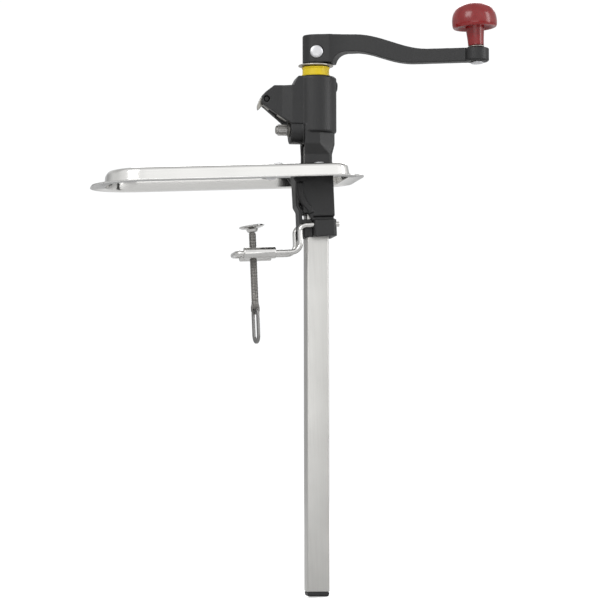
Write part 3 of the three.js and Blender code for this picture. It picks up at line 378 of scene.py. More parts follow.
# %% The finishes of this opener
black_casting = finish("black_enamelled_casting", linear(7, 7, 8), linear(21, 21, 23), 0.42,
                       bump=0.00012, grains=700.0, worn=linear(48, 48, 51), wear_amount=0.7)
black_arm = finish("black_crank_paint", linear(7, 7, 8), linear(20, 20, 21), 0.44,
                   bump=0.0001, grains=900.0, worn=linear(48, 48, 50), wear_amount=0.5)
polished = finish("polished_plate_steel", linear(222, 221, 218), linear(200, 199, 197), 0.12, metal=1.0,
                  bump=0.00001, stretch=(30.0, 500.0, 500.0), worn=linear(240, 240, 242), dust=0.2,
                  rough_spread=0.08)
chrome = finish("bright_yoke_plating", linear(208, 207, 205), linear(168, 167, 165), 0.13, metal=1.0,
                bump=0.00001, grains=300.0, worn=linear(232, 232, 236), dust=0.3, rough_spread=0.08)
brushed_bar = finish("brushed_bar_steel", linear(196, 195, 192), linear(160, 159, 156), 0.32, metal=0.92,
                     bump=0.00002, stretch=(1500.0, 1500.0, 18.0), worn=linear(236, 236, 234), dust=0.4)
screw_steel = finish("dark_screw_steel", linear(120, 118, 115), linear(72, 70, 68), 0.36, metal=0.9,
                     bump=0.00003, grains=1400.0, worn=linear(206, 203, 197), wear_width=0.0003)
loop_steel = finish("dull_loop_steel", linear(140, 139, 138), linear(92, 91, 90), 0.34, metal=0.9,
                    bump=0.00003, grains=1100.0, worn=linear(216, 214, 210))
pin_steel = finish("turned_pin_steel", linear(208, 208, 210), linear(166, 166, 169), 0.28, metal=0.95,
                   bump=0.00004, grains=1500.0, worn=linear(238, 238, 240), dust=0.7)
washer_steel = finish("washer_steel", linear(176, 172, 164), linear(132, 128, 120), 0.3, metal=0.95,
                      bump=0.00003, grains=800.0, worn=linear(226, 222, 214))
tool_steel = finish("hardened_tool_steel", linear(156, 153, 147), linear(104, 102, 97), 0.3, metal=0.95,
                    bump=0.00003, stretch=(900.0, 90.0, 900.0), worn=linear(226, 226, 230))
gear_steel = finish("greased_gear_steel", linear(96, 94, 90), linear(56, 54, 50), 0.24, metal=0.85,
                    bump=0.00003, grains=600.0, worn=linear(170, 168, 163))
feed_steel = finish("feed_bush_steel", linear(118, 116, 112), linear(78, 76, 73), 0.33, metal=0.9,
                    bump=0.00003, grains=900.0, worn=linear(190, 188, 183))
black_screw = finish("blackened_screw_steel", linear(16, 16, 17), linear(30, 30, 31), 0.4, metal=0.3,
                     bump=0.00003, grains=900.0, worn=linear(96, 96, 98), wear_width=0.0003)
yellow_nylon = finish("yellow_bushing_nylon", linear(240, 212, 24), linear(226, 192, 10), 0.4,
                      bump=0.00003, grains=1200.0, worn=linear(250, 228, 80), wear_amount=0.5)
red_knob = finish("red_knob_plastic", linear(138, 10, 14), linear(112, 6, 9), 0.2, coat=0.15,
                  bump=0.00001, grains=500.0, worn=linear(160, 30, 32), wear_amount=0.3, dust=0.1)
black_plug = finish("black_plug_plastic", linear(26, 26, 27), linear(38, 38, 40), 0.5, bump=0.00005,
                    grains=1600.0, worn=linear(70, 70, 72))
floor_paper = finish("pale_floor_paper", (0.86, 0.86, 0.86, 1), (0.84, 0.84, 0.84, 1), 0.9, bump=0.00005,
                     grains=80.0, dust=0.0)
FLOOR_GLOW = 0.62
floor_shader = floor_paper.node_tree.nodes["Principled BSDF"]
floor_shader.inputs["Emission Color"].default_value = (1, 1, 1, 1)
floor_rays = floor_paper.node_tree.nodes.new("ShaderNodeLightPath")
floor_glow = math_node(floor_paper.node_tree, "MULTIPLY", floor_rays.outputs["Is Camera Ray"], FLOOR_GLOW)
floor_paper.node_tree.links.new(floor_glow, floor_shader.inputs["Emission Strength"])
floor_shader.inputs["Specular IOR Level"].default_value = 0.0
floor.data.materials.append(floor_paper)
print("finishes:", len(bpy.data.materials))

# %% [markdown]
# ## Tools for shaping
# Turned pieces such as the knob are a profile spun about an axis. Machined blocks keep the CAD
# shape, with their edges broken by a Bevel modifier. Castings have no sharp edge at all: their CAD
# shape is filled by a fine voxel remesh and smoothed, which rounds every edge and corner the way
# sand and paint do. All of them end as plain meshes at the origin.

# %% Put a mesh in the scene as a finished piece
def smooth_faces(mesh, angle):
    mesh.shade_smooth()
    mesh.set_sharp_from_angle(angle=math.radians(angle))


def stand_in(name, mesh, material, body, nodes=(), angle=35):
    piece = in_scene(name, mesh)
    mesh.materials.clear()
    mesh.materials.append(material)
    smooth_faces(mesh, angle)
    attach(piece, body)
    if nodes:
        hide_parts(*nodes)
    print(f"{name}: {len(mesh.polygons)} faces")
    return piece


def evaluated_mesh(name, holder):
    """What the holder's modifiers make of its data. The holder itself is removed."""
    bpy.context.view_layer.update()
    evaluated = holder.evaluated_get(bpy.context.evaluated_depsgraph_get())
    result = bpy.data.meshes.new_from_object(evaluated)
    result.name = name
    bpy.data.objects.remove(holder)
    return result


def plain_mesh(name, source, *modifiers):
    """The mesh that a shape has after these modifiers."""
    holder = in_scene(name + "_work", source)
    for kind, values in modifiers:
        modifier = holder.modifiers.new(kind.lower(), kind)
        for key, value in values.items():
            setattr(modifier, key, value)
    return evaluated_mesh(name, holder)


def node_copy(node):
    """The CAD node's triangles, joined at their corners."""
    shape = bmesh.new()
    shape.from_mesh(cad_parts[node].data)
    bmesh.ops.remove_doubles(shape, verts=shape.verts, dist=2e-6)
    bmesh.ops.dissolve_limit(
        shape, angle_limit=math.radians(1), verts=shape.verts, edges=shape.edges)
    return shape


def to_mesh(shape, name, scale=None, matrix=None):
    if scale:
        bmesh.ops.scale(shape, vec=(scale,) * 3, verts=shape.verts)
    if matrix is not None:
        shape.transform(matrix)
    mesh = bpy.data.meshes.new(name)
    shape.to_mesh(mesh)
    shape.free()
    return mesh


def skin(shape, rings):
    """Faces between each ring of points and the next."""
    for low, high in zip(rings, rings[1:]):
        for i in range(len(low)):
            j = (i + 1) % len(low)
            shape.faces.new((low[i], low[j], high[j], high[i]))


# %% Turned, machined and cast shapes
def lathe(profile, place=UPRIGHT, sides=96):
    """A profile of (radius, height) in millimetres, upwards, spun about the axis of place."""
    shape = bmesh.new()
    rings = []
    for radius, height in profile:
        if radius < 1e-6:
            rings.append([shape.verts.new((0, 0, height))])
        else:
            rings.append([shape.verts.new((radius * math.cos(2 * math.pi * i / sides),
                                           radius * math.sin(2 * math.pi * i / sides), height))
                          for i in range(sides)])
    closed = profile[0][0] > 1e-6 and profile[-1][0] > 1e-6
    pairs = list(zip(rings, rings[1:])) + ([(rings[-1], rings[0])] if closed else [])
    for low, high in pairs:
        for i in range(sides):
            j = (i + 1) % sides
            if len(low) == 1:
                shape.faces.new((low[0], high[j], high[i]))
            elif len(high) == 1:
                shape.faces.new((low[i], low[j], high[0]))
            else:
                shape.faces.new((low[i], low[j], high[j], high[i]))
    bmesh.ops.recalc_face_normals(shape, faces=shape.faces)
    return to_mesh(shape, "turned", matrix=Matrix.Scale(MM, 4) @ place)


def eased(points, steps=6):
    """Points with the ones given as (radius, height, bend) rounded off by an arc of that bend."""
    result = []
    for i, point in enumerate(points):
        if len(point) == 2 or i in (0, len(points) - 1):
            result.append(tuple(point[:2]))
            continue
        here, bend = Vector(point[:2]), point[2]
        before = (Vector(points[i - 1][:2]) - here).normalized() * bend + here
        after = (Vector(points[i + 1][:2]) - here).normalized() * bend + here
        for k in range(steps + 1):
            t = k / steps
            result.append(tuple(before * (1 - t) ** 2 + here * 2 * t * (1 - t) + after * t * t))
    return result


def edges_broken(name, mesh, edge, segments=3, angle=30):
    return plain_mesh(name, mesh, ("BEVEL", {
        "width": edge * MM, "segments": segments,
        "limit_method": "ANGLE", "angle_limit": math.radians(angle)}))


def machined(node, edge, segments=3):
    return edges_broken(node, to_mesh(node_copy(node), node), edge, segments)


def cast_shape(name, shape, voxel, rounds):
    return plain_mesh(name, to_mesh(shape, name), ("REMESH", {
        "mode": "VOXEL", "voxel_size": voxel * MM, "use_smooth_shade": True}),
        ("SMOOTH", {"factor": 0.5, "iterations": rounds}))


def merged(meshes, name):
    shape = bmesh.new()
    for mesh in meshes:
        shape.from_mesh(mesh)
    return to_mesh(shape, name)


def prism(outline, near, far, place=UPRIGHT):
    """An outline of (x, z) in millimetres, standing from y = near to y = far."""
    shape = bmesh.new()
    front = [shape.verts.new((x, near, z)) for x, z in outline]
    back = [shape.verts.new((x, far, z)) for x, z in outline]
    shape.faces.new(front)
    shape.faces.new(list(reversed(back)))
    for i in range(len(outline)):
        j = (i + 1) % len(outline)
        shape.faces.new((front[i], back[i], back[j], front[j]))
    bmesh.ops.recalc_face_normals(shape, faces=shape.faces)
    shape.transform(Matrix.Scale(MM, 4) @ place)
    return shape


def add_shape(body, extra):
    """Puts a second closed shape into the first; the remesh makes them one."""
    mesh = to_mesh(extra, "extra")
    body.from_mesh(mesh)
    bpy.data.meshes.remove(mesh)


# %% [markdown]
# ## Geometry Nodes that the pieces share
# Four things repeat or follow a path: fasteners that stand at several places, bent wire and strip,
# the clamp screw's thread, and the teeth of the feed wheel. Each is a small node tree with named
# inputs. The result is turned into a plain mesh before the piece is put in the scene.

# %% Helpers for a node tree
def piece_tree(name, inputs):
    tree = bpy.data.node_groups.new(name, "GeometryNodeTree")
    tree.interface.new_socket(name="Geometry", in_out="INPUT", socket_type="NodeSocketGeometry")
    for label, kind in inputs:
        tree.interface.new_socket(name=label, in_out="INPUT", socket_type=kind)
    tree.interface.new_socket(name="Geometry", in_out="OUTPUT", socket_type="NodeSocketGeometry")
    return tree, tree.nodes.new("NodeGroupInput"), tree.nodes.new("NodeGroupOutput")


def end_tree(tree, start, end, geometry):
    real = tree.nodes.new("GeometryNodeRealizeInstances")
    paint = tree.nodes.new("GeometryNodeSetMaterial")
    tree.links.new(geometry, real.inputs["Geometry"])
    tree.links.new(real.outputs["Geometry"], paint.inputs["Geometry"])
    tree.links.new(start.outputs["Finish"], paint.inputs["Material"])
    tree.links.new(paint.outputs["Geometry"], end.inputs["Geometry"])


def grown(name, source, tree, **values):
    """The plain mesh that the tree makes from a mesh or curve, with these inputs."""
    holder = in_scene(name + "_work", source)
    modifier = holder.modifiers.new("nodes", "NODES")
    modifier.node_group = tree
    for item in tree.interface.items_tree:
        key = item.name.replace(" ", "_")
        if item.in_out == "INPUT" and key in values:
            modifier[item.identifier] = values[key]
    return evaluated_mesh(name, holder)


def points_mesh(points):
    mesh = bpy.data.meshes.new("points")
    mesh.from_pydata([Vector(p) * MM for p in points], [], [])
    return mesh


# %% Fasteners at several places
fasteners, fasteners_in, fasteners_out = piece_tree(
    "fasteners_at_points", [("Fastener", "NodeSocketObject"), ("Finish", "NodeSocketMaterial")])
fastener_info = fasteners.nodes.new("GeometryNodeObjectInfo")
fasteners.links.new(fasteners_in.outputs["Fastener"], fastener_info.inputs["Object"])
on_points = fasteners.nodes.new("GeometryNodeInstanceOnPoints")
fasteners.links.new(fasteners_in.outputs["Geometry"], on_points.inputs["Points"])
fasteners.links.new(fastener_info.outputs["Geometry"], on_points.inputs["Instance"])
end_tree(fasteners, fasteners_in, fasteners_out, on_points.outputs["Instances"])


def repeat_fastener(name, mesh, points, material):
    """The fastener's mesh, drawn about the origin, stood at each point."""
    sample = in_scene(name + "_sample", mesh)
    result = grown(name, points_mesh(points), fasteners, Fastener=sample, Finish=material)
    bpy.data.objects.remove(sample)
    return result


# %% Bent wire and strip: a section carried along a curve
bent, bent_in, bent_out = piece_tree("bent_stock", [
    ("Width", "NodeSocketFloat"), ("Thickness", "NodeSocketFloat"), ("Corner", "NodeSocketFloat"),
    ("Corner steps", "NodeSocketInt"), ("Finish", "NodeSocketMaterial")])
section = bent.nodes.new("GeometryNodeCurvePrimitiveQuadrilateral")
bent.links.new(bent_in.outputs["Width"], section.inputs["Width"])
bent.links.new(bent_in.outputs["Thickness"], section.inputs["Height"])
eased_section = bent.nodes.new("GeometryNodeFilletCurve")
eased_section.mode = "POLY"
bent.links.new(section.outputs["Curve"], eased_section.inputs["Curve"])
bent.links.new(bent_in.outputs["Corner"], eased_section.inputs["Radius"])
bent.links.new(bent_in.outputs["Corner steps"], eased_section.inputs["Count"])
carried = bent.nodes.new("GeometryNodeCurveToMesh")
carried.inputs["Fill Caps"].default_value = True
bent.links.new(bent_in.outputs["Geometry"], carried.inputs["Curve"])
bent.links.new(eased_section.outputs["Curve"], carried.inputs["Profile Curve"])
end_tree(bent, bent_in, bent_out, carried.outputs["Mesh"])


def rounded_path(corners, closed=False, steps=14):
    """Corners given as (x, y, z, bend): straight runs joined by arcs of that bend."""
    points = []
    count = len(corners)
    for i, (x, y, z, bend) in enumerate(corners):
        here = Vector((x, y, z))
        if not closed and i in (0, count - 1):
            points.append(here)
            continue
        before = (Vector(corners[i - 1][:3]) - here).normalized()
        after = (Vector(corners[(i + 1) % count][:3]) - here).normalized()
        half_angle = before.angle(after) / 2
        setback = bend / math.tan(half_angle)
        centre = here + (before + after).normalized() * (bend / math.sin(half_angle))
        start, stop = here + before * setback - centre, here + after * setback - centre
        sweep = start.angle(stop)
        for k in range(steps + 1):
            t = k / steps
            spoke = start * math.sin((1 - t) * sweep) + stop * math.sin(t * sweep)
            points.append(centre + spoke / math.sin(sweep))
    return points


def path_curve(points, place=UPRIGHT, closed=False):
    curve = bpy.data.curves.new("path", "CURVE")
    curve.dimensions = "3D"
    curve.twist_mode = "MINIMUM"
    line = curve.splines.new("POLY")
    line.points.add(len(points) - 1)
    for spline_point, point in zip(line.points, points):
        spline_point.co = (*((place @ Vector(point)) * MM), 1)
    line.use_cyclic_u = closed
    return curve


# %% Thread: a tapered ridge wound on a helix
thread, thread_in, thread_out = piece_tree("screw_thread", [
    ("Turns", "NodeSocketFloat"), ("Root radius", "NodeSocketFloat"), ("Length", "NodeSocketFloat"),
    ("Ridge", "NodeSocketFloat"), ("Finish", "NodeSocketMaterial")])
helix = thread.nodes.new("GeometryNodeCurveSpiral")
helix.inputs["Resolution"].default_value = 26
thread.links.new(thread_in.outputs["Turns"], helix.inputs["Rotations"])
thread.links.new(thread_in.outputs["Root radius"], helix.inputs["Start Radius"])
thread.links.new(thread_in.outputs["Root radius"], helix.inputs["End Radius"])
thread.links.new(thread_in.outputs["Length"], helix.inputs["Height"])
ridge_section = thread.nodes.new("GeometryNodeCurvePrimitiveCircle")
ridge_section.inputs["Resolution"].default_value = 6
thread.links.new(thread_in.outputs["Ridge"], ridge_section.inputs["Radius"])
wound = thread.nodes.new("GeometryNodeCurveToMesh")
wound.inputs["Fill Caps"].default_value = True
thread.links.new(helix.outputs["Curve"], wound.inputs["Curve"])
thread.links.new(ridge_section.outputs["Curve"], wound.inputs["Profile Curve"])
end_tree(thread, thread_in, thread_out, wound.outputs["Mesh"])

# %% Teeth: one tooth repeated round an axis
teeth, teeth_in, teeth_out = piece_tree("teeth_round_an_axis", [
    ("Tooth", "NodeSocketObject"), ("Teeth", "NodeSocketInt"), ("Finish", "NodeSocketMaterial")])
tooth_row = teeth.nodes.new("GeometryNodeMeshLine")
tooth_row.inputs["Offset"].default_value = (0, 0, 0)
teeth.links.new(teeth_in.outputs["Teeth"], tooth_row.inputs["Count"])
tooth_info = teeth.nodes.new("GeometryNodeObjectInfo")
teeth.links.new(teeth_in.outputs["Tooth"], tooth_info.inputs["Object"])
tooth_number = teeth.nodes.new("GeometryNodeInputIndex")
share = math_node(teeth, "DIVIDE", tooth_number.outputs["Index"], teeth_in.outputs["Teeth"])
angle = math_node(teeth, "MULTIPLY", share, 2 * math.pi)
turn_vector = teeth.nodes.new("ShaderNodeCombineXYZ")
teeth.links.new(angle, turn_vector.inputs["Z"])
ring_of_teeth = teeth.nodes.new("GeometryNodeInstanceOnPoints")
teeth.links.new(tooth_row.outputs["Mesh"], ring_of_teeth.inputs["Points"])
teeth.links.new(tooth_info.outputs["Geometry"], ring_of_teeth.inputs["Instance"])
teeth.links.new(turn_vector.outputs["Vector"], ring_of_teeth.inputs["Rotation"])
end_tree(teeth, teeth_in, teeth_out, ring_of_teeth.outputs["Instances"])
print("node trees:", [t.name for t in (fasteners, bent, thread, teeth)])

# %% [markdown]
# ## Can plate
# The can stands on this plate. It is pressed from one sheet: a flat top, a rounded shoulder, a
# short wall and a thin flange all round. Its outline follows a rule, a rectangle with large corner
# arcs at one end and smaller ones at the other, so it is made as rings at growing insets, with
# many more points round each corner than the CAD solid has. The window for the bar is cut last.

# %% Rings of the plate and its section
PLATE_LEFT, PLATE_RIGHT, PLATE_DEPTH = -190.5, 36.5, 104.0
PLATE_LEFT_RADIUS, PLATE_RIGHT_RADIUS = 44.0, 24.0
PLATE_SHEET, PLATE_HEIGHT, PLATE_FLANGE, SHOULDER = 1.2, 12.5, 12.0, 4.5


def plate_ring(inset, height, steps=30):
    half, left, right_side = PLATE_DEPTH / 2 - inset, PLATE_LEFT + inset, PLATE_RIGHT - inset
    near_radius = max(PLATE_RIGHT_RADIUS - inset, 2)
    far_radius = max(PLATE_LEFT_RADIUS - inset, 2)
    corners = ((right_side - near_radius, half - near_radius, near_radius),
               (left + far_radius, half - far_radius, far_radius),
               (left + far_radius, far_radius - half, far_radius),
               (right_side - near_radius, near_radius - half, near_radius))
    ring = []
    for quarter, (x, y, radius) in enumerate(corners):
        for i in range(steps + 1):
            turn_angle = (quarter + i / steps) * math.pi / 2
            ring.append((x + radius * math.cos(turn_angle), y + radius * math.sin(turn_angle), height))
    return ring


def quarter_arc(inset_from, height_from, inset_to, height_to, hollow, steps=8):
    result = []
    for i in range(steps + 1):
        turn_angle = i / steps * math.pi / 2
        along = math.sin(turn_angle) if hollow else 1 - math.cos(turn_angle)
        rise = 1 - math.cos(turn_angle) if hollow else math.sin(turn_angle)
        result.append((inset_from + (inset_to - inset_from) * along,
                       height_from + (height_to - height_from) * rise))
    return result


TOP_RUN = 22
wall_head = PLATE_FLANGE + 0.8
shoulder_level = PLATE_HEIGHT - SHOULDER
top_inside = PLATE_HEIGHT - PLATE_SHEET
plate_outside = [(0.15, 0), (0, 0.2), (0, PLATE_SHEET - 0.2), (0.2, PLATE_SHEET)]
plate_outside += quarter_arc(PLATE_FLANGE - 2, PLATE_SHEET, PLATE_FLANGE, PLATE_SHEET + 2, True)
plate_outside += quarter_arc(wall_head, shoulder_level, wall_head + SHOULDER, PLATE_HEIGHT, False)
plate_outside += [(wall_head + TOP_RUN, PLATE_HEIGHT)]
plate_inside = [(wall_head + TOP_RUN, top_inside)]
plate_inside += quarter_arc(
    wall_head + PLATE_SHEET, shoulder_level, wall_head + SHOULDER, top_inside, False)[::-1]
plate_inside += [(PLATE_FLANGE + PLATE_SHEET, 2.2), (PLATE_FLANGE + 0.7, 0.5), (PLATE_FLANGE - 0.2, 0)]
plate_shape = bmesh.new()
plate_rings = [[plate_shape.verts.new(point) for point in plate_ring(inset, height)]
               for inset, height in plate_outside + plate_inside]
outside_rings = plate_rings[:len(plate_outside)]
inside_rings = plate_rings[len(plate_outside):]
skin(plate_shape, outside_rings)
skin(plate_shape, inside_rings + outside_rings[:1])
plate_shape.faces.new(outside_rings[-1])
plate_shape.faces.new(inside_rings[0][::-1])
bmesh.ops.remove_doubles(plate_shape, verts=plate_shape.verts, dist=1e-4)
bmesh.ops.recalc_face_normals(plate_shape, faces=plate_shape.faces)
plate_mesh = to_mesh(plate_shape, "plate", scale=MM)
print("plate rings:", len(plate_rings))

# %% Cut the window and put the plate in the scene
WINDOW_X, WINDOW_Y, WINDOW_RISE = 12.6, 14.4, 30


def cut_away(name, mesh, cutter):
    tool = in_scene(name + "_cutter", cutter)
    result = plain_mesh(name, mesh, ("BOOLEAN", {
        "operation": "DIFFERENCE", "solver": "EXACT", "object": tool}))
    bpy.data.objects.remove(tool)
    return result


window = [(-WINDOW_X, 0), (WINDOW_X, 0), (WINDOW_X, WINDOW_RISE), (-WINDOW_X, WINDOW_RISE)]
window_tool = to_mesh(prism(window, -WINDOW_Y, WINDOW_Y), "window")
plate_mesh = cut_away("can_plate", plate_mesh, window_tool)
stand_in("can_plate", plate_mesh, polished, "base", ["base_plate"], 40)

# %% [markdown]
# ## Plate rivets
# Four solid rivets hold the plate to the casting's pad. All are alike and only their places
# differ, so one turned rivet is repeated by Geometry Nodes.

# %% One rivet, four places
RIVET_R, RIVET_HEAD_R, RIVET_FOOT_R = 2.45, 4.7, 4.3
rivet_low, rivet_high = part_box("plate_rivet_1")
rivet_places = []
for number in range(1, 5):
    low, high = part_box(f"plate_rivet_{number}")
    middle = (low + high) / 2 / MM
    rivet_places.append((middle.x, middle.y, 0))
foot, head_top = rivet_low.z / MM, rivet_high.z / MM
head_seat = 12.8
foot_seat = foot + 1.2
rivet_profile = eased([
    (0, foot), (3.4, foot, 1.2), (RIVET_FOOT_R, foot_seat), (RIVET_R, foot_seat),
    (RIVET_R, head_seat), (4.55, head_seat), (RIVET_HEAD_R, head_seat + 0.25),
    (3.9, head_top - 0.25, 1.0), (2.2, head_top), (0, head_top)])
rivets = repeat_fastener("plate_rivets", lathe(rivet_profile, sides=36), rivet_places, pin_steel)
rivet_nodes = [f"plate_rivet_{n}" for n in range(1, 5)]
stand_in("plate_rivets", rivets, pin_steel, "base", rivet_nodes, 30)

# %% [markdown]
# ## Base casting
# The black iron casting carries the plate on a flat pad, guides the bar in a square sleeve and
# holds the clamp yoke in a collar below. On the real one a raised rib runs down the curved edge of
# each cheek. The ribs are drawn as bent bars along that edge and lie partly inside the cheek. The
# voxel remesh turns the casting and its ribs into one skin.

# %% Ribs along the cheeks, then one skin
base_body = node_copy("base_casting")
rib_line = [(-17.2, -1.5), (-17.0, -9.5), (-15.9, -14.6), (-13.4, -20.2), (-9.6, -25.4), (-8.4, -28.2)]


def rib_outline(line, width):
    left_side, right_side = [], []
    for i, (x, z) in enumerate(line):
        ahead = line[min(i + 1, len(line) - 1)]
        behind = line[max(i - 1, 0)]
        run = Vector((ahead[0] - behind[0], ahead[1] - behind[1])).normalized()
        left_side.append((x, z))
        right_side.append((x - run.y * width, z + run.x * width))
    return left_side + right_side[::-1]


SLEEVE_HALF, RIB_WIDTH, RIB_SUNK, RIB_PROUD = 14.1, 4.2, 2, 1.0
for side in (-1, 1):
    near, far = sorted((side * (SLEEVE_HALF - RIB_SUNK), side * (SLEEVE_HALF + RIB_PROUD)))
    add_shape(base_body, prism(rib_outline(rib_line, RIB_WIDTH), near, far))
base_mesh = cast_shape("base_body", base_body, 0.5, 3)
stand_in("base_body", base_mesh, black_casting, "base", ["base_casting"], 60)

# %% [markdown]
# ## Clamp yoke and its saddle
# One steel rod is bent into a long fork: both ends go through the collar, the legs drop and run
# out to the left, where a cross piece joins them. A path with rounded corners and a round section
# make it in one sweep. The saddle plate and its nut ride on the legs and hold the clamp screw.

# %% The yoke: a rounded path and a round section
ROD, ROD_Y, ROD_LEVEL, YOKE_LEVEL = 4.6, 14.2, -37.5, -60.0
YOKE_DROP, YOKE_END = -16.9, -71.3
rod_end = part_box("clamp_yoke")[1].x / MM - 0.02
HIGH_BEND, LOW_BEND, END_BEND = 5.5, 8, 5
yoke_side = [(rod_end, ROD_LEVEL, 0), (YOKE_DROP, ROD_LEVEL, HIGH_BEND),
             (YOKE_DROP, YOKE_LEVEL, LOW_BEND), (YOKE_END, YOKE_LEVEL, END_BEND)]
yoke_path = rounded_path([(x, -ROD_Y, z, bend) for x, z, bend in yoke_side]
                         + [(x, ROD_Y, z, bend) for x, z, bend in yoke_side[::-1]])
yoke_mesh = grown("clamp_rod", path_curve(yoke_path), bent, Width=ROD * MM, Thickness=ROD * MM,
                  Corner=ROD / 2 * 0.98 * MM, Corner_steps=7, Finish=chrome)
yoke_mesh = edges_broken("clamp_rod", yoke_mesh, 0.5, angle=60)
stand_in("clamp_rod", yoke_mesh, chrome, "base", ["clamp_yoke"], 40)

# %% Saddle plate and nut: machined shapes with broken edges
def machined_piece(name, node, edges, material, body, angle=35):
    """A CAD shape with broken edges. edges is the width in millimetres and the segments."""
    stand_in(name, machined(node, *edges), material, body, [node], angle)


machined_piece("saddle", "saddle_plate", (0.7,), chrome, "saddle")
machined_piece("clamp_nut", "saddle_nut", (0.6,), chrome, "saddle")

# %% [markdown]
# ## Clamp screw, swivel pad and loop handle
# The screw has a long fine thread, a ball at the top for the swivel pad, and a flattened tab with
# an eye at the foot for the loop. The thread is one ridge wound on a helix. The pad is turned, and
# sits a little crooked on its ball. The loop is a flat strip bent round and closed.

# %% Screw core, tab and thread
SCREW_TOP, SHANK_END, TAB_END = -40.2, -102.0, -111.0
EYE_LEVEL = TAB_END + 3.575
THREAD_PITCH, THREAD_ROOT, THREAD_RIDGE = 1.27, 2.72, 0.43
SHANK_R, NECK_R = 3.0, 1.75
core = lathe(eased([
    (0, SHANK_END - 5.8), (2.3, SHANK_END - 5.2, 1), (SHANK_R, SHANK_END - 2),
    (SHANK_R, SHANK_END + 1.5), (THREAD_ROOT, SHANK_END + 2.2), (THREAD_ROOT, SCREW_TOP - 2.4),
    (2.5, SCREW_TOP - 1.5), (NECK_R, SCREW_TOP - 1.5), (NECK_R, SCREW_TOP - 0.7),
    (2.2, SCREW_TOP + 0.5, 0.6), (1.4, SCREW_TOP + 1.6, 0.5), (0, SCREW_TOP + 1.85)]), SCREW, 48)

# %% The tab with its eye, and the thread
TAB_HALF, TAB_THICK_HALF, EYE_R, EYE_REACH = 3.55, 1.45, 2.4, 6
tab_outline = [(TAB_HALF * 0.8, SHANK_END), (TAB_HALF, SHANK_END - 2.6)]
tab_outline += [(TAB_HALF * math.cos(a), EYE_LEVEL - TAB_HALF * math.sin(a))
                for a in (math.pi * k / 28 for k in range(29))]
tab_outline += [(-TAB_HALF, SHANK_END - 2.6), (-TAB_HALF * 0.8, SHANK_END)]
sideways = SCREW @ turned(math.radians(90), "Z")
tab = to_mesh(prism(tab_outline, -TAB_THICK_HALF, TAB_THICK_HALF, sideways), "tab")
eye_bar = lathe([(0, -EYE_REACH), (EYE_R, -EYE_REACH), (EYE_R, EYE_REACH), (0, EYE_REACH)],
                sideways @ moved(z=EYE_LEVEL) @ turned(math.radians(90), "X"), 48)
tab = edges_broken("tab", cut_away("tab", tab, eye_bar), 0.4, angle=50)
thread_foot = SHANK_END + 2.4
thread_length = SCREW_TOP - 2.8 - thread_foot
ridge = grown("thread", points_mesh([(0, 0, 0)]), thread, Turns=thread_length / THREAD_PITCH,
              Root_radius=THREAD_ROOT * MM, Length=thread_length * MM, Ridge=THREAD_RIDGE * MM,
              Finish=screw_steel)
ridge.transform(moved(SCREW_X * MM, 0, thread_foot * MM))
screw_mesh = merged([core, tab, ridge], "clamp_screw_body")
stand_in("clamp_screw_body", screw_mesh, screw_steel, "screw", ["clamp_screw"], 40)

# %% Swivel pad
PAD_R, SOCKET_R = 10.75, 2.75
pad_profile = eased([
    (0, 1.65), (SOCKET_R, 1.65), (SOCKET_R, -2.1), (4.0, -2.1, 0.3), (4.8, -0.4),
    (5.2, 0.7, 0.6), (8.4, 1.3), (PAD_R - 0.1, 2.3, 0.4), (PAD_R, 3.0),
    (PAD_R - 0.3, 3.55, 0.4), (8.0, 3.82), (0, 3.9)])
stand_in("swivel_pad", lathe(pad_profile, PAD), chrome, "pad", ["clamp_pad"], 30)

# %% Loop handle
STRIP, STRIP_WIDTH, LOOP_WIDTH, LOOP_HEIGHT = 2.0, 4.0, 13.4, 28.0
loop_half = (LOOP_WIDTH - STRIP) / 2
loop_top = EYE_LEVEL - 0.2
loop_foot = loop_top - LOOP_HEIGHT + STRIP
top_bend, foot_bend = loop_half * 0.45, loop_half * 0.98
loop_path = rounded_path([
    (loop_half, 0, loop_top, top_bend), (loop_half, 0, loop_foot, foot_bend),
    (-loop_half, 0, loop_foot, foot_bend), (-loop_half, 0, loop_top, top_bend)], closed=True)
loop_mesh = grown("loop", path_curve(loop_path, SCREW, True), bent, Width=STRIP * MM,
                  Thickness=STRIP_WIDTH * MM, Corner=0.6 * MM, Corner_steps=3, Finish=loop_steel)
for axis in range(3):
    reach = [vertex.co[axis] / MM for vertex in loop_mesh.vertices]
    print("loop handle along", "XYZ"[axis], round(max(reach) - min(reach), 1))
stand_in("loop_handle", loop_mesh, loop_steel, "loop", ["screw_loop"], 45)

# %% [markdown]
# ## Square bar and its plug
# The bar is drawn square steel with slightly rounded corners, ground lengthwise. A plastic plug
# closes its foot so that it doesn't mark the floor or a hand.

# %% Bar and plug
machined_piece("square_bar", "bar", (0.9, 4), brushed_bar, "slider", 30)
machined_piece("foot_plug", "bar_end_plug", (0.5,), black_plug, "slider")

# %% [markdown]
# ## Cutting head
# The head is one casting: a round tube for the arbor, a faceted column over the bar and a nose
# with two cheeks that hold the knife. Its CAD shape is right, so the fine remesh only rounds it.

# %% Head
head_mesh = cast_shape("head_body", node_copy("head_casting"), 0.48, 3)
stand_in("head_body", head_mesh, black_casting, "slider", ["head_casting"], 60)

# %% [markdown]
# ## Knife, its block and its screw
# The knife is a hardened hook between the cheeks, with a ground edge. A slotted screw from behind
# holds it, and a small hard block behind it backs the can's rim.

# %% Knife parts
machined_piece("knife", "knife_blade", (0.35, 2), tool_steel, "slider")
machined_piece("rim_block", "knife_block", (0.4, 2), tool_steel, "slider")
machined_piece("knife_fixing", "knife_screw", (0.25, 2), black_screw, "slider")

# %% [markdown]
# ## Bar screws
# Two socket screws fix the head to the bar. They are alike, so one is built with its six-sided
# socket and stood in both places by Geometry Nodes.

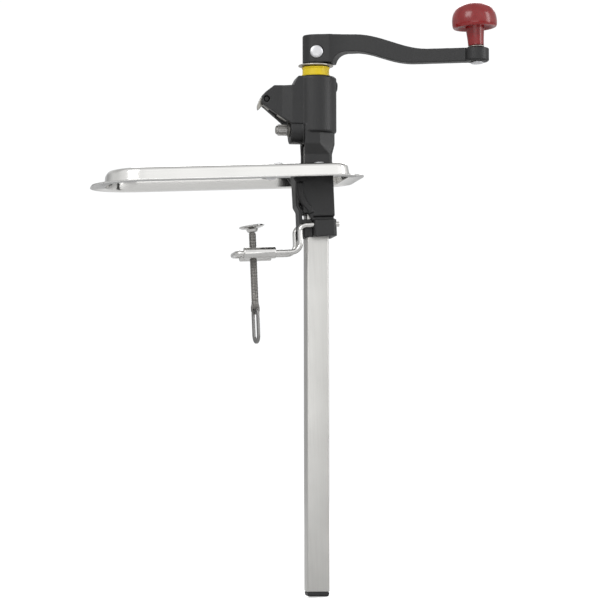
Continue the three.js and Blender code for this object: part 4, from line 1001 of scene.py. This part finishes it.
# %% One socket screw, two places
def socket_screw(radius, socket, length, depth):
    """A headless screw along +Y that ends at y = 0, with a six-sided socket in that end."""
    shape = bmesh.new()
    count = 48
    rings = []
    levels = ((radius - 0.3, -length, False), (radius, -length + 0.4, False), (radius, -0.4, False),
              (radius - 0.3, 0, False), (socket, 0, True), (socket, -depth, True))
    for half_width, height, six_sided in levels:
        ring = []
        for i in range(count):
            a = 2 * math.pi * i / count
            wide = half_width
            if six_sided:
                past_corner = (a % (math.pi / 3)) - math.pi / 6
                wide = half_width * math.cos(math.pi / 6) / math.cos(past_corner)
            ring.append(shape.verts.new((wide * math.cos(a), height, wide * math.sin(a))))
        rings.append(ring)
    skin(shape, rings)
    shape.faces.new(rings[0])
    shape.faces.new(rings[-1])
    bmesh.ops.recalc_face_normals(shape, faces=shape.faces)
    return to_mesh(shape, "socket_screw", scale=MM)


screw_ends = []
for number in (1, 2):
    low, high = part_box(f"bar_screw_{number}")
    middle = (low + high) / 2 / MM
    screw_ends.append((middle.x, high.y / MM, middle.z))
FIXING_R, FIXING_SOCKET_R, SOCKET_DEPTH = 2.55, 1.45, 1.6
screw_depth = (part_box("bar_screw_1")[1].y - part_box("bar_screw_1")[0].y) / MM
one_screw = socket_screw(FIXING_R, FIXING_SOCKET_R, screw_depth, SOCKET_DEPTH)
bar_screws = repeat_fastener("head_fixings", one_screw, screw_ends, gear_steel)
fixing_nodes = ["bar_screw_1", "bar_screw_2"]
stand_in("head_fixings", bar_screws, gear_steel, "slider", fixing_nodes, 30)

# %% [markdown]
# ## Yellow bushing and thrust washer
# The arbor turns in a yellow nylon bushing that stands out of the tube, with a small lip at each
# end. A dished steel washer lies between it and the crank.

# %% Bushing and washer
TUBE_TOP, BUSH_R, BUSH_RISE, BUSH_BORE, SPIGOT_R = 89.5, 11.85, 8.2, 4.95, 7.45
bush_foot = TUBE_TOP + 0.35
bush_head = bush_foot + BUSH_RISE - 0.08
bush_profile = eased([
    (BUSH_BORE, TUBE_TOP - 22), (7.1, TUBE_TOP - 22), (SPIGOT_R, TUBE_TOP - 21.5),
    (SPIGOT_R, bush_foot), (BUSH_R - 0.3, bush_foot, 0.3), (BUSH_R, bush_foot + 0.5),
    (BUSH_R, bush_foot + 1.4, 0.3), (BUSH_R - 0.5, bush_foot + 1.8, 0.3),
    (BUSH_R - 0.5, bush_head - 1.8, 0.3), (BUSH_R, bush_head - 1.4, 0.3),
    (BUSH_R, bush_head - 0.4, 0.3), (BUSH_R - 0.5, bush_head, 0.3), (BUSH_BORE, bush_head)])
bush_mesh = lathe(bush_profile, SLIDER)
stand_in("yellow_bushing", bush_mesh, yellow_nylon, "slider", ["top_bushing"], 25)
WASHER_LEVEL, WASHER_BORE, WASHER_R = 98.3, 5.0, 14.88
washer_profile = eased([
    (WASHER_BORE, WASHER_LEVEL + 0.35), (10.5, WASHER_LEVEL + 0.2), (14.3, WASHER_LEVEL, 0.5),
    (WASHER_R, WASHER_LEVEL + 0.35, 0.2), (WASHER_R, WASHER_LEVEL + 1.1, 0.3),
    (14.2, WASHER_LEVEL + 1.6, 0.4), (11.4, WASHER_LEVEL + 1.55), (10.4, WASHER_LEVEL + 2.1),
    (WASHER_BORE, WASHER_LEVEL + 2.1)])
washer_mesh = lathe(washer_profile, SLIDER)
stand_in("dished_washer", washer_mesh, washer_steel, "slider", ["thrust_washer"], 30)

# %% [markdown]
# ## Feed wheel
# The small wheel at the head's left drives the can's rim. Its teeth are straight ridges along its
# length, so one ridge is repeated round a core, and the feed shaft's end shows in its middle.

# %% Ridged wheel
WHEEL_R, WHEEL_ROOT, WHEEL_TEETH, SHAFT_R = 4.78, 4.1, 22, 3.1
HOUSING_FACE, BUSH_FLANGE, WHEEL_GAP, WHEEL_LENGTH = -22.9, 1.2, 0.6, 8.3
wheel_right = HOUSING_FACE - BUSH_FLANGE - WHEEL_GAP
wheel_left = wheel_right - WHEEL_LENGTH
wheel_core = lathe([
    (SHAFT_R, wheel_left + 0.1), (WHEEL_ROOT - 0.3, wheel_left + 0.1), (WHEEL_ROOT, wheel_left + 0.4),
    (WHEEL_ROOT, wheel_right - 0.4), (WHEEL_ROOT - 0.3, wheel_right - 0.1),
    (SHAFT_R, wheel_right - 0.1)], UPRIGHT, 66)

# %% One tooth, repeated round the core
tooth_half = math.pi / WHEEL_TEETH * 0.78
tooth_shape = bmesh.new()
tooth_sections = []
for level, reach in ((wheel_left + 0.05, WHEEL_R - 0.35), (wheel_left + 0.45, WHEEL_R),
                     (wheel_right - 0.45, WHEEL_R), (wheel_right - 0.05, WHEEL_R - 0.35)):
    ring = [(WHEEL_ROOT - 0.2, -tooth_half * 1.1), (reach - 0.1, -tooth_half * 0.45), (reach, 0),
            (reach - 0.1, tooth_half * 0.45), (WHEEL_ROOT - 0.2, tooth_half * 1.1)]
    tooth_sections.append([tooth_shape.verts.new((r * math.cos(a), r * math.sin(a), level)) for r, a in ring])
skin(tooth_shape, tooth_sections)
tooth_shape.faces.new(tooth_sections[0])
tooth_shape.faces.new(tooth_sections[-1])
bmesh.ops.recalc_face_normals(tooth_shape, faces=tooth_shape.faces)
tooth_sample = in_scene("tooth_sample", to_mesh(tooth_shape, "tooth", scale=MM))
ridges = grown("ridges", points_mesh([(0, 0, 0)]), teeth,
               Tooth=tooth_sample, Teeth=WHEEL_TEETH, Finish=tool_steel)
bpy.data.objects.remove(tooth_sample)
wheel_mesh = merged([wheel_core, ridges], "ridged_wheel")
wheel_mesh.transform(Matrix.Scale(MM, 4) @ FEED @ Matrix.Scale(1 / MM, 4))
stand_in("ridged_wheel", wheel_mesh, tool_steel, "feed", ["feed_wheel"], 30)

# %% [markdown]
# ## Crank
# The crank arm is a casting too: a square hub over the arbor, a long drop to a slimmer end, and a
# round boss for the knob's stud. It gets the same rounded skin as the head, a domed pin across the
# hub, and a stud with a washer under the knob.

# %% Arm and cross pin
arm_mesh = cast_shape("crank_casting", node_copy("crank_arm"), 0.45, 3)
stand_in("crank_casting", arm_mesh, black_arm, "crank", ["crank_arm"], 60)
PIN_FACE, PIN_R, PIN_HEAD = 11.6, 3.0, 5.4
pin_profile = eased([
    (0, -PIN_FACE - 0.7), (PIN_R - 0.6, -PIN_FACE - 0.7, 0.4), (PIN_R, -PIN_FACE), (PIN_R, PIN_FACE),
    (PIN_HEAD, PIN_FACE), (PIN_HEAD, PIN_FACE + 0.9, 0.3), (PIN_HEAD - 0.9, PIN_FACE + 1.6, 0.8),
    (2.6, PIN_FACE + 1.9), (0, PIN_FACE + 1.97)])
stand_in("domed_pin", lathe(pin_profile, PIN), pin_steel, "crank", ["crank_pin"], 25)

# %% The stud leans, so its head and the washer stand off the boss by the rise at their rims
STUD_GAP, STUD_HEAD_R, STUD_R, RIM_R = 0.3, 5.6, 3.48, 6.9
FOOT_SEAT = -BOSS_HALF - STUD_GAP - STUD_HEAD_R * math.sin(-STUD_LEAN)
WASHER_FOOT = BOSS_HALF + STUD_GAP + RIM_R * math.sin(-STUD_LEAN)
KNOB_FOOT = WASHER_FOOT + 1.3
KNOB_HEIGHT = 36.5
stud_profile = eased([
    (0, FOOT_SEAT - 1.18), (4.6, FOOT_SEAT - 1.05, 0.5), (5.58, FOOT_SEAT - 0.5, 0.3), (5.58, FOOT_SEAT - 0.02),
    (STUD_R, FOOT_SEAT - 0.02), (STUD_R, KNOB_FOOT + KNOB_HEIGHT - 9),
    (2.9, KNOB_FOOT + KNOB_HEIGHT - 8.4), (0, KNOB_FOOT + KNOB_HEIGHT - 8.4)])
stand_in("riveted_stud", lathe(stud_profile, STUD), pin_steel, "crank", ["knob_stud"], 30)
small_washer = eased([
    (3.75, WASHER_FOOT + 0.02), (6.5, WASHER_FOOT + 0.02), (6.88, WASHER_FOOT + 0.35, 0.2),
    (6.88, WASHER_FOOT + 0.65, 0.2), (6.5, WASHER_FOOT + 0.98), (3.75, WASHER_FOOT + 0.98)])
stand_in("small_washer", lathe(small_washer, STUD), washer_steel, "crank", ["knob_washer"], 30)

# %% [markdown]
# ## Knob
# The red knob turns freely on the stud. It has a waisted stem, a hollow under the cap and a broad
# dome with a soft rim. A spun profile with bends eased by arcs gives all of it.

# %% Knob
KNOB_R, STEM_FOOT, STEM_TOP, CAP_HEIGHT, HOLLOW = 18.95, 6.7, 7.9, 21.5, 3.4
knob_top = KNOB_FOOT + KNOB_HEIGHT
cap_rim = knob_top - CAP_HEIGHT


def bezier(start, first, second, stop, steps):
    """Points on a curve from start to stop, without start itself, pulled by the two in between."""
    result = []
    for k in range(1, steps + 1):
        t = k / steps
        result.append(tuple((1 - t) ** 3 * a + 3 * t * (1 - t) ** 2 * b + 3 * t * t * (1 - t) * c + t ** 3 * d
                            for a, b, c, d in zip(start, first, second, stop)))
    return result


knob_profile = [(3.8, KNOB_FOOT), (STEM_FOOT - 0.5, KNOB_FOOT), (STEM_FOOT - 0.1, KNOB_FOOT + 0.15),
                (STEM_FOOT, KNOB_FOOT + 0.6)]
knob_bends = (
    ((6.75, KNOB_FOOT + 5), (7.5, cap_rim - 4), (STEM_TOP, cap_rim + 1), 10),
    ((STEM_TOP + 0.2, cap_rim + 3), (9.4, cap_rim + HOLLOW), (11.4, cap_rim + HOLLOW), 8),
    ((14.4, cap_rim + HOLLOW), (15.4, cap_rim + 0.1), (17.0, cap_rim), 10),
    ((18.2, cap_rim), (KNOB_R - 0.15, cap_rim + 1.2), (KNOB_R - 0.05, cap_rim + 4), 10),
    ((KNOB_R + 0.1, cap_rim + 9), (KNOB_R - 0.7, cap_rim + 12.4), (15.6, cap_rim + 16.2), 14),
    ((11.6, cap_rim + 20.4), (6.0, knob_top), (0.0, knob_top), 18),
)
for bend in knob_bends:
    knob_profile += bezier(knob_profile[-1], *bend)
bore_top = KNOB_FOOT + KNOB_HEIGHT - 7.3
knob_shell = lathe([(0, bore_top), (3.3, bore_top), (3.8, bore_top - 0.5), *knob_profile], STUD, 128)
stand_in("red_knob", knob_shell, red_knob, "knob", ["knob"], 40)

# %% [markdown]
# ## Pieces that keep their CAD shape
# The gears, the arbor, the feed shaft and its bush are nearly hidden inside the head, and their
# CAD shapes are right. They only take a detailed finish.

# %% Finishes for the hidden machine parts
for node, material in (("arbor", gear_steel), ("driving_gear", gear_steel), ("driven_gear", gear_steel),
                       ("feed_shaft", tool_steel), ("feed_bush", feed_steel)):
    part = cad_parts[node]
    part.data.materials.clear()
    part.data.materials.append(material)
    print(node, "keeps its shape, finish", material.name)
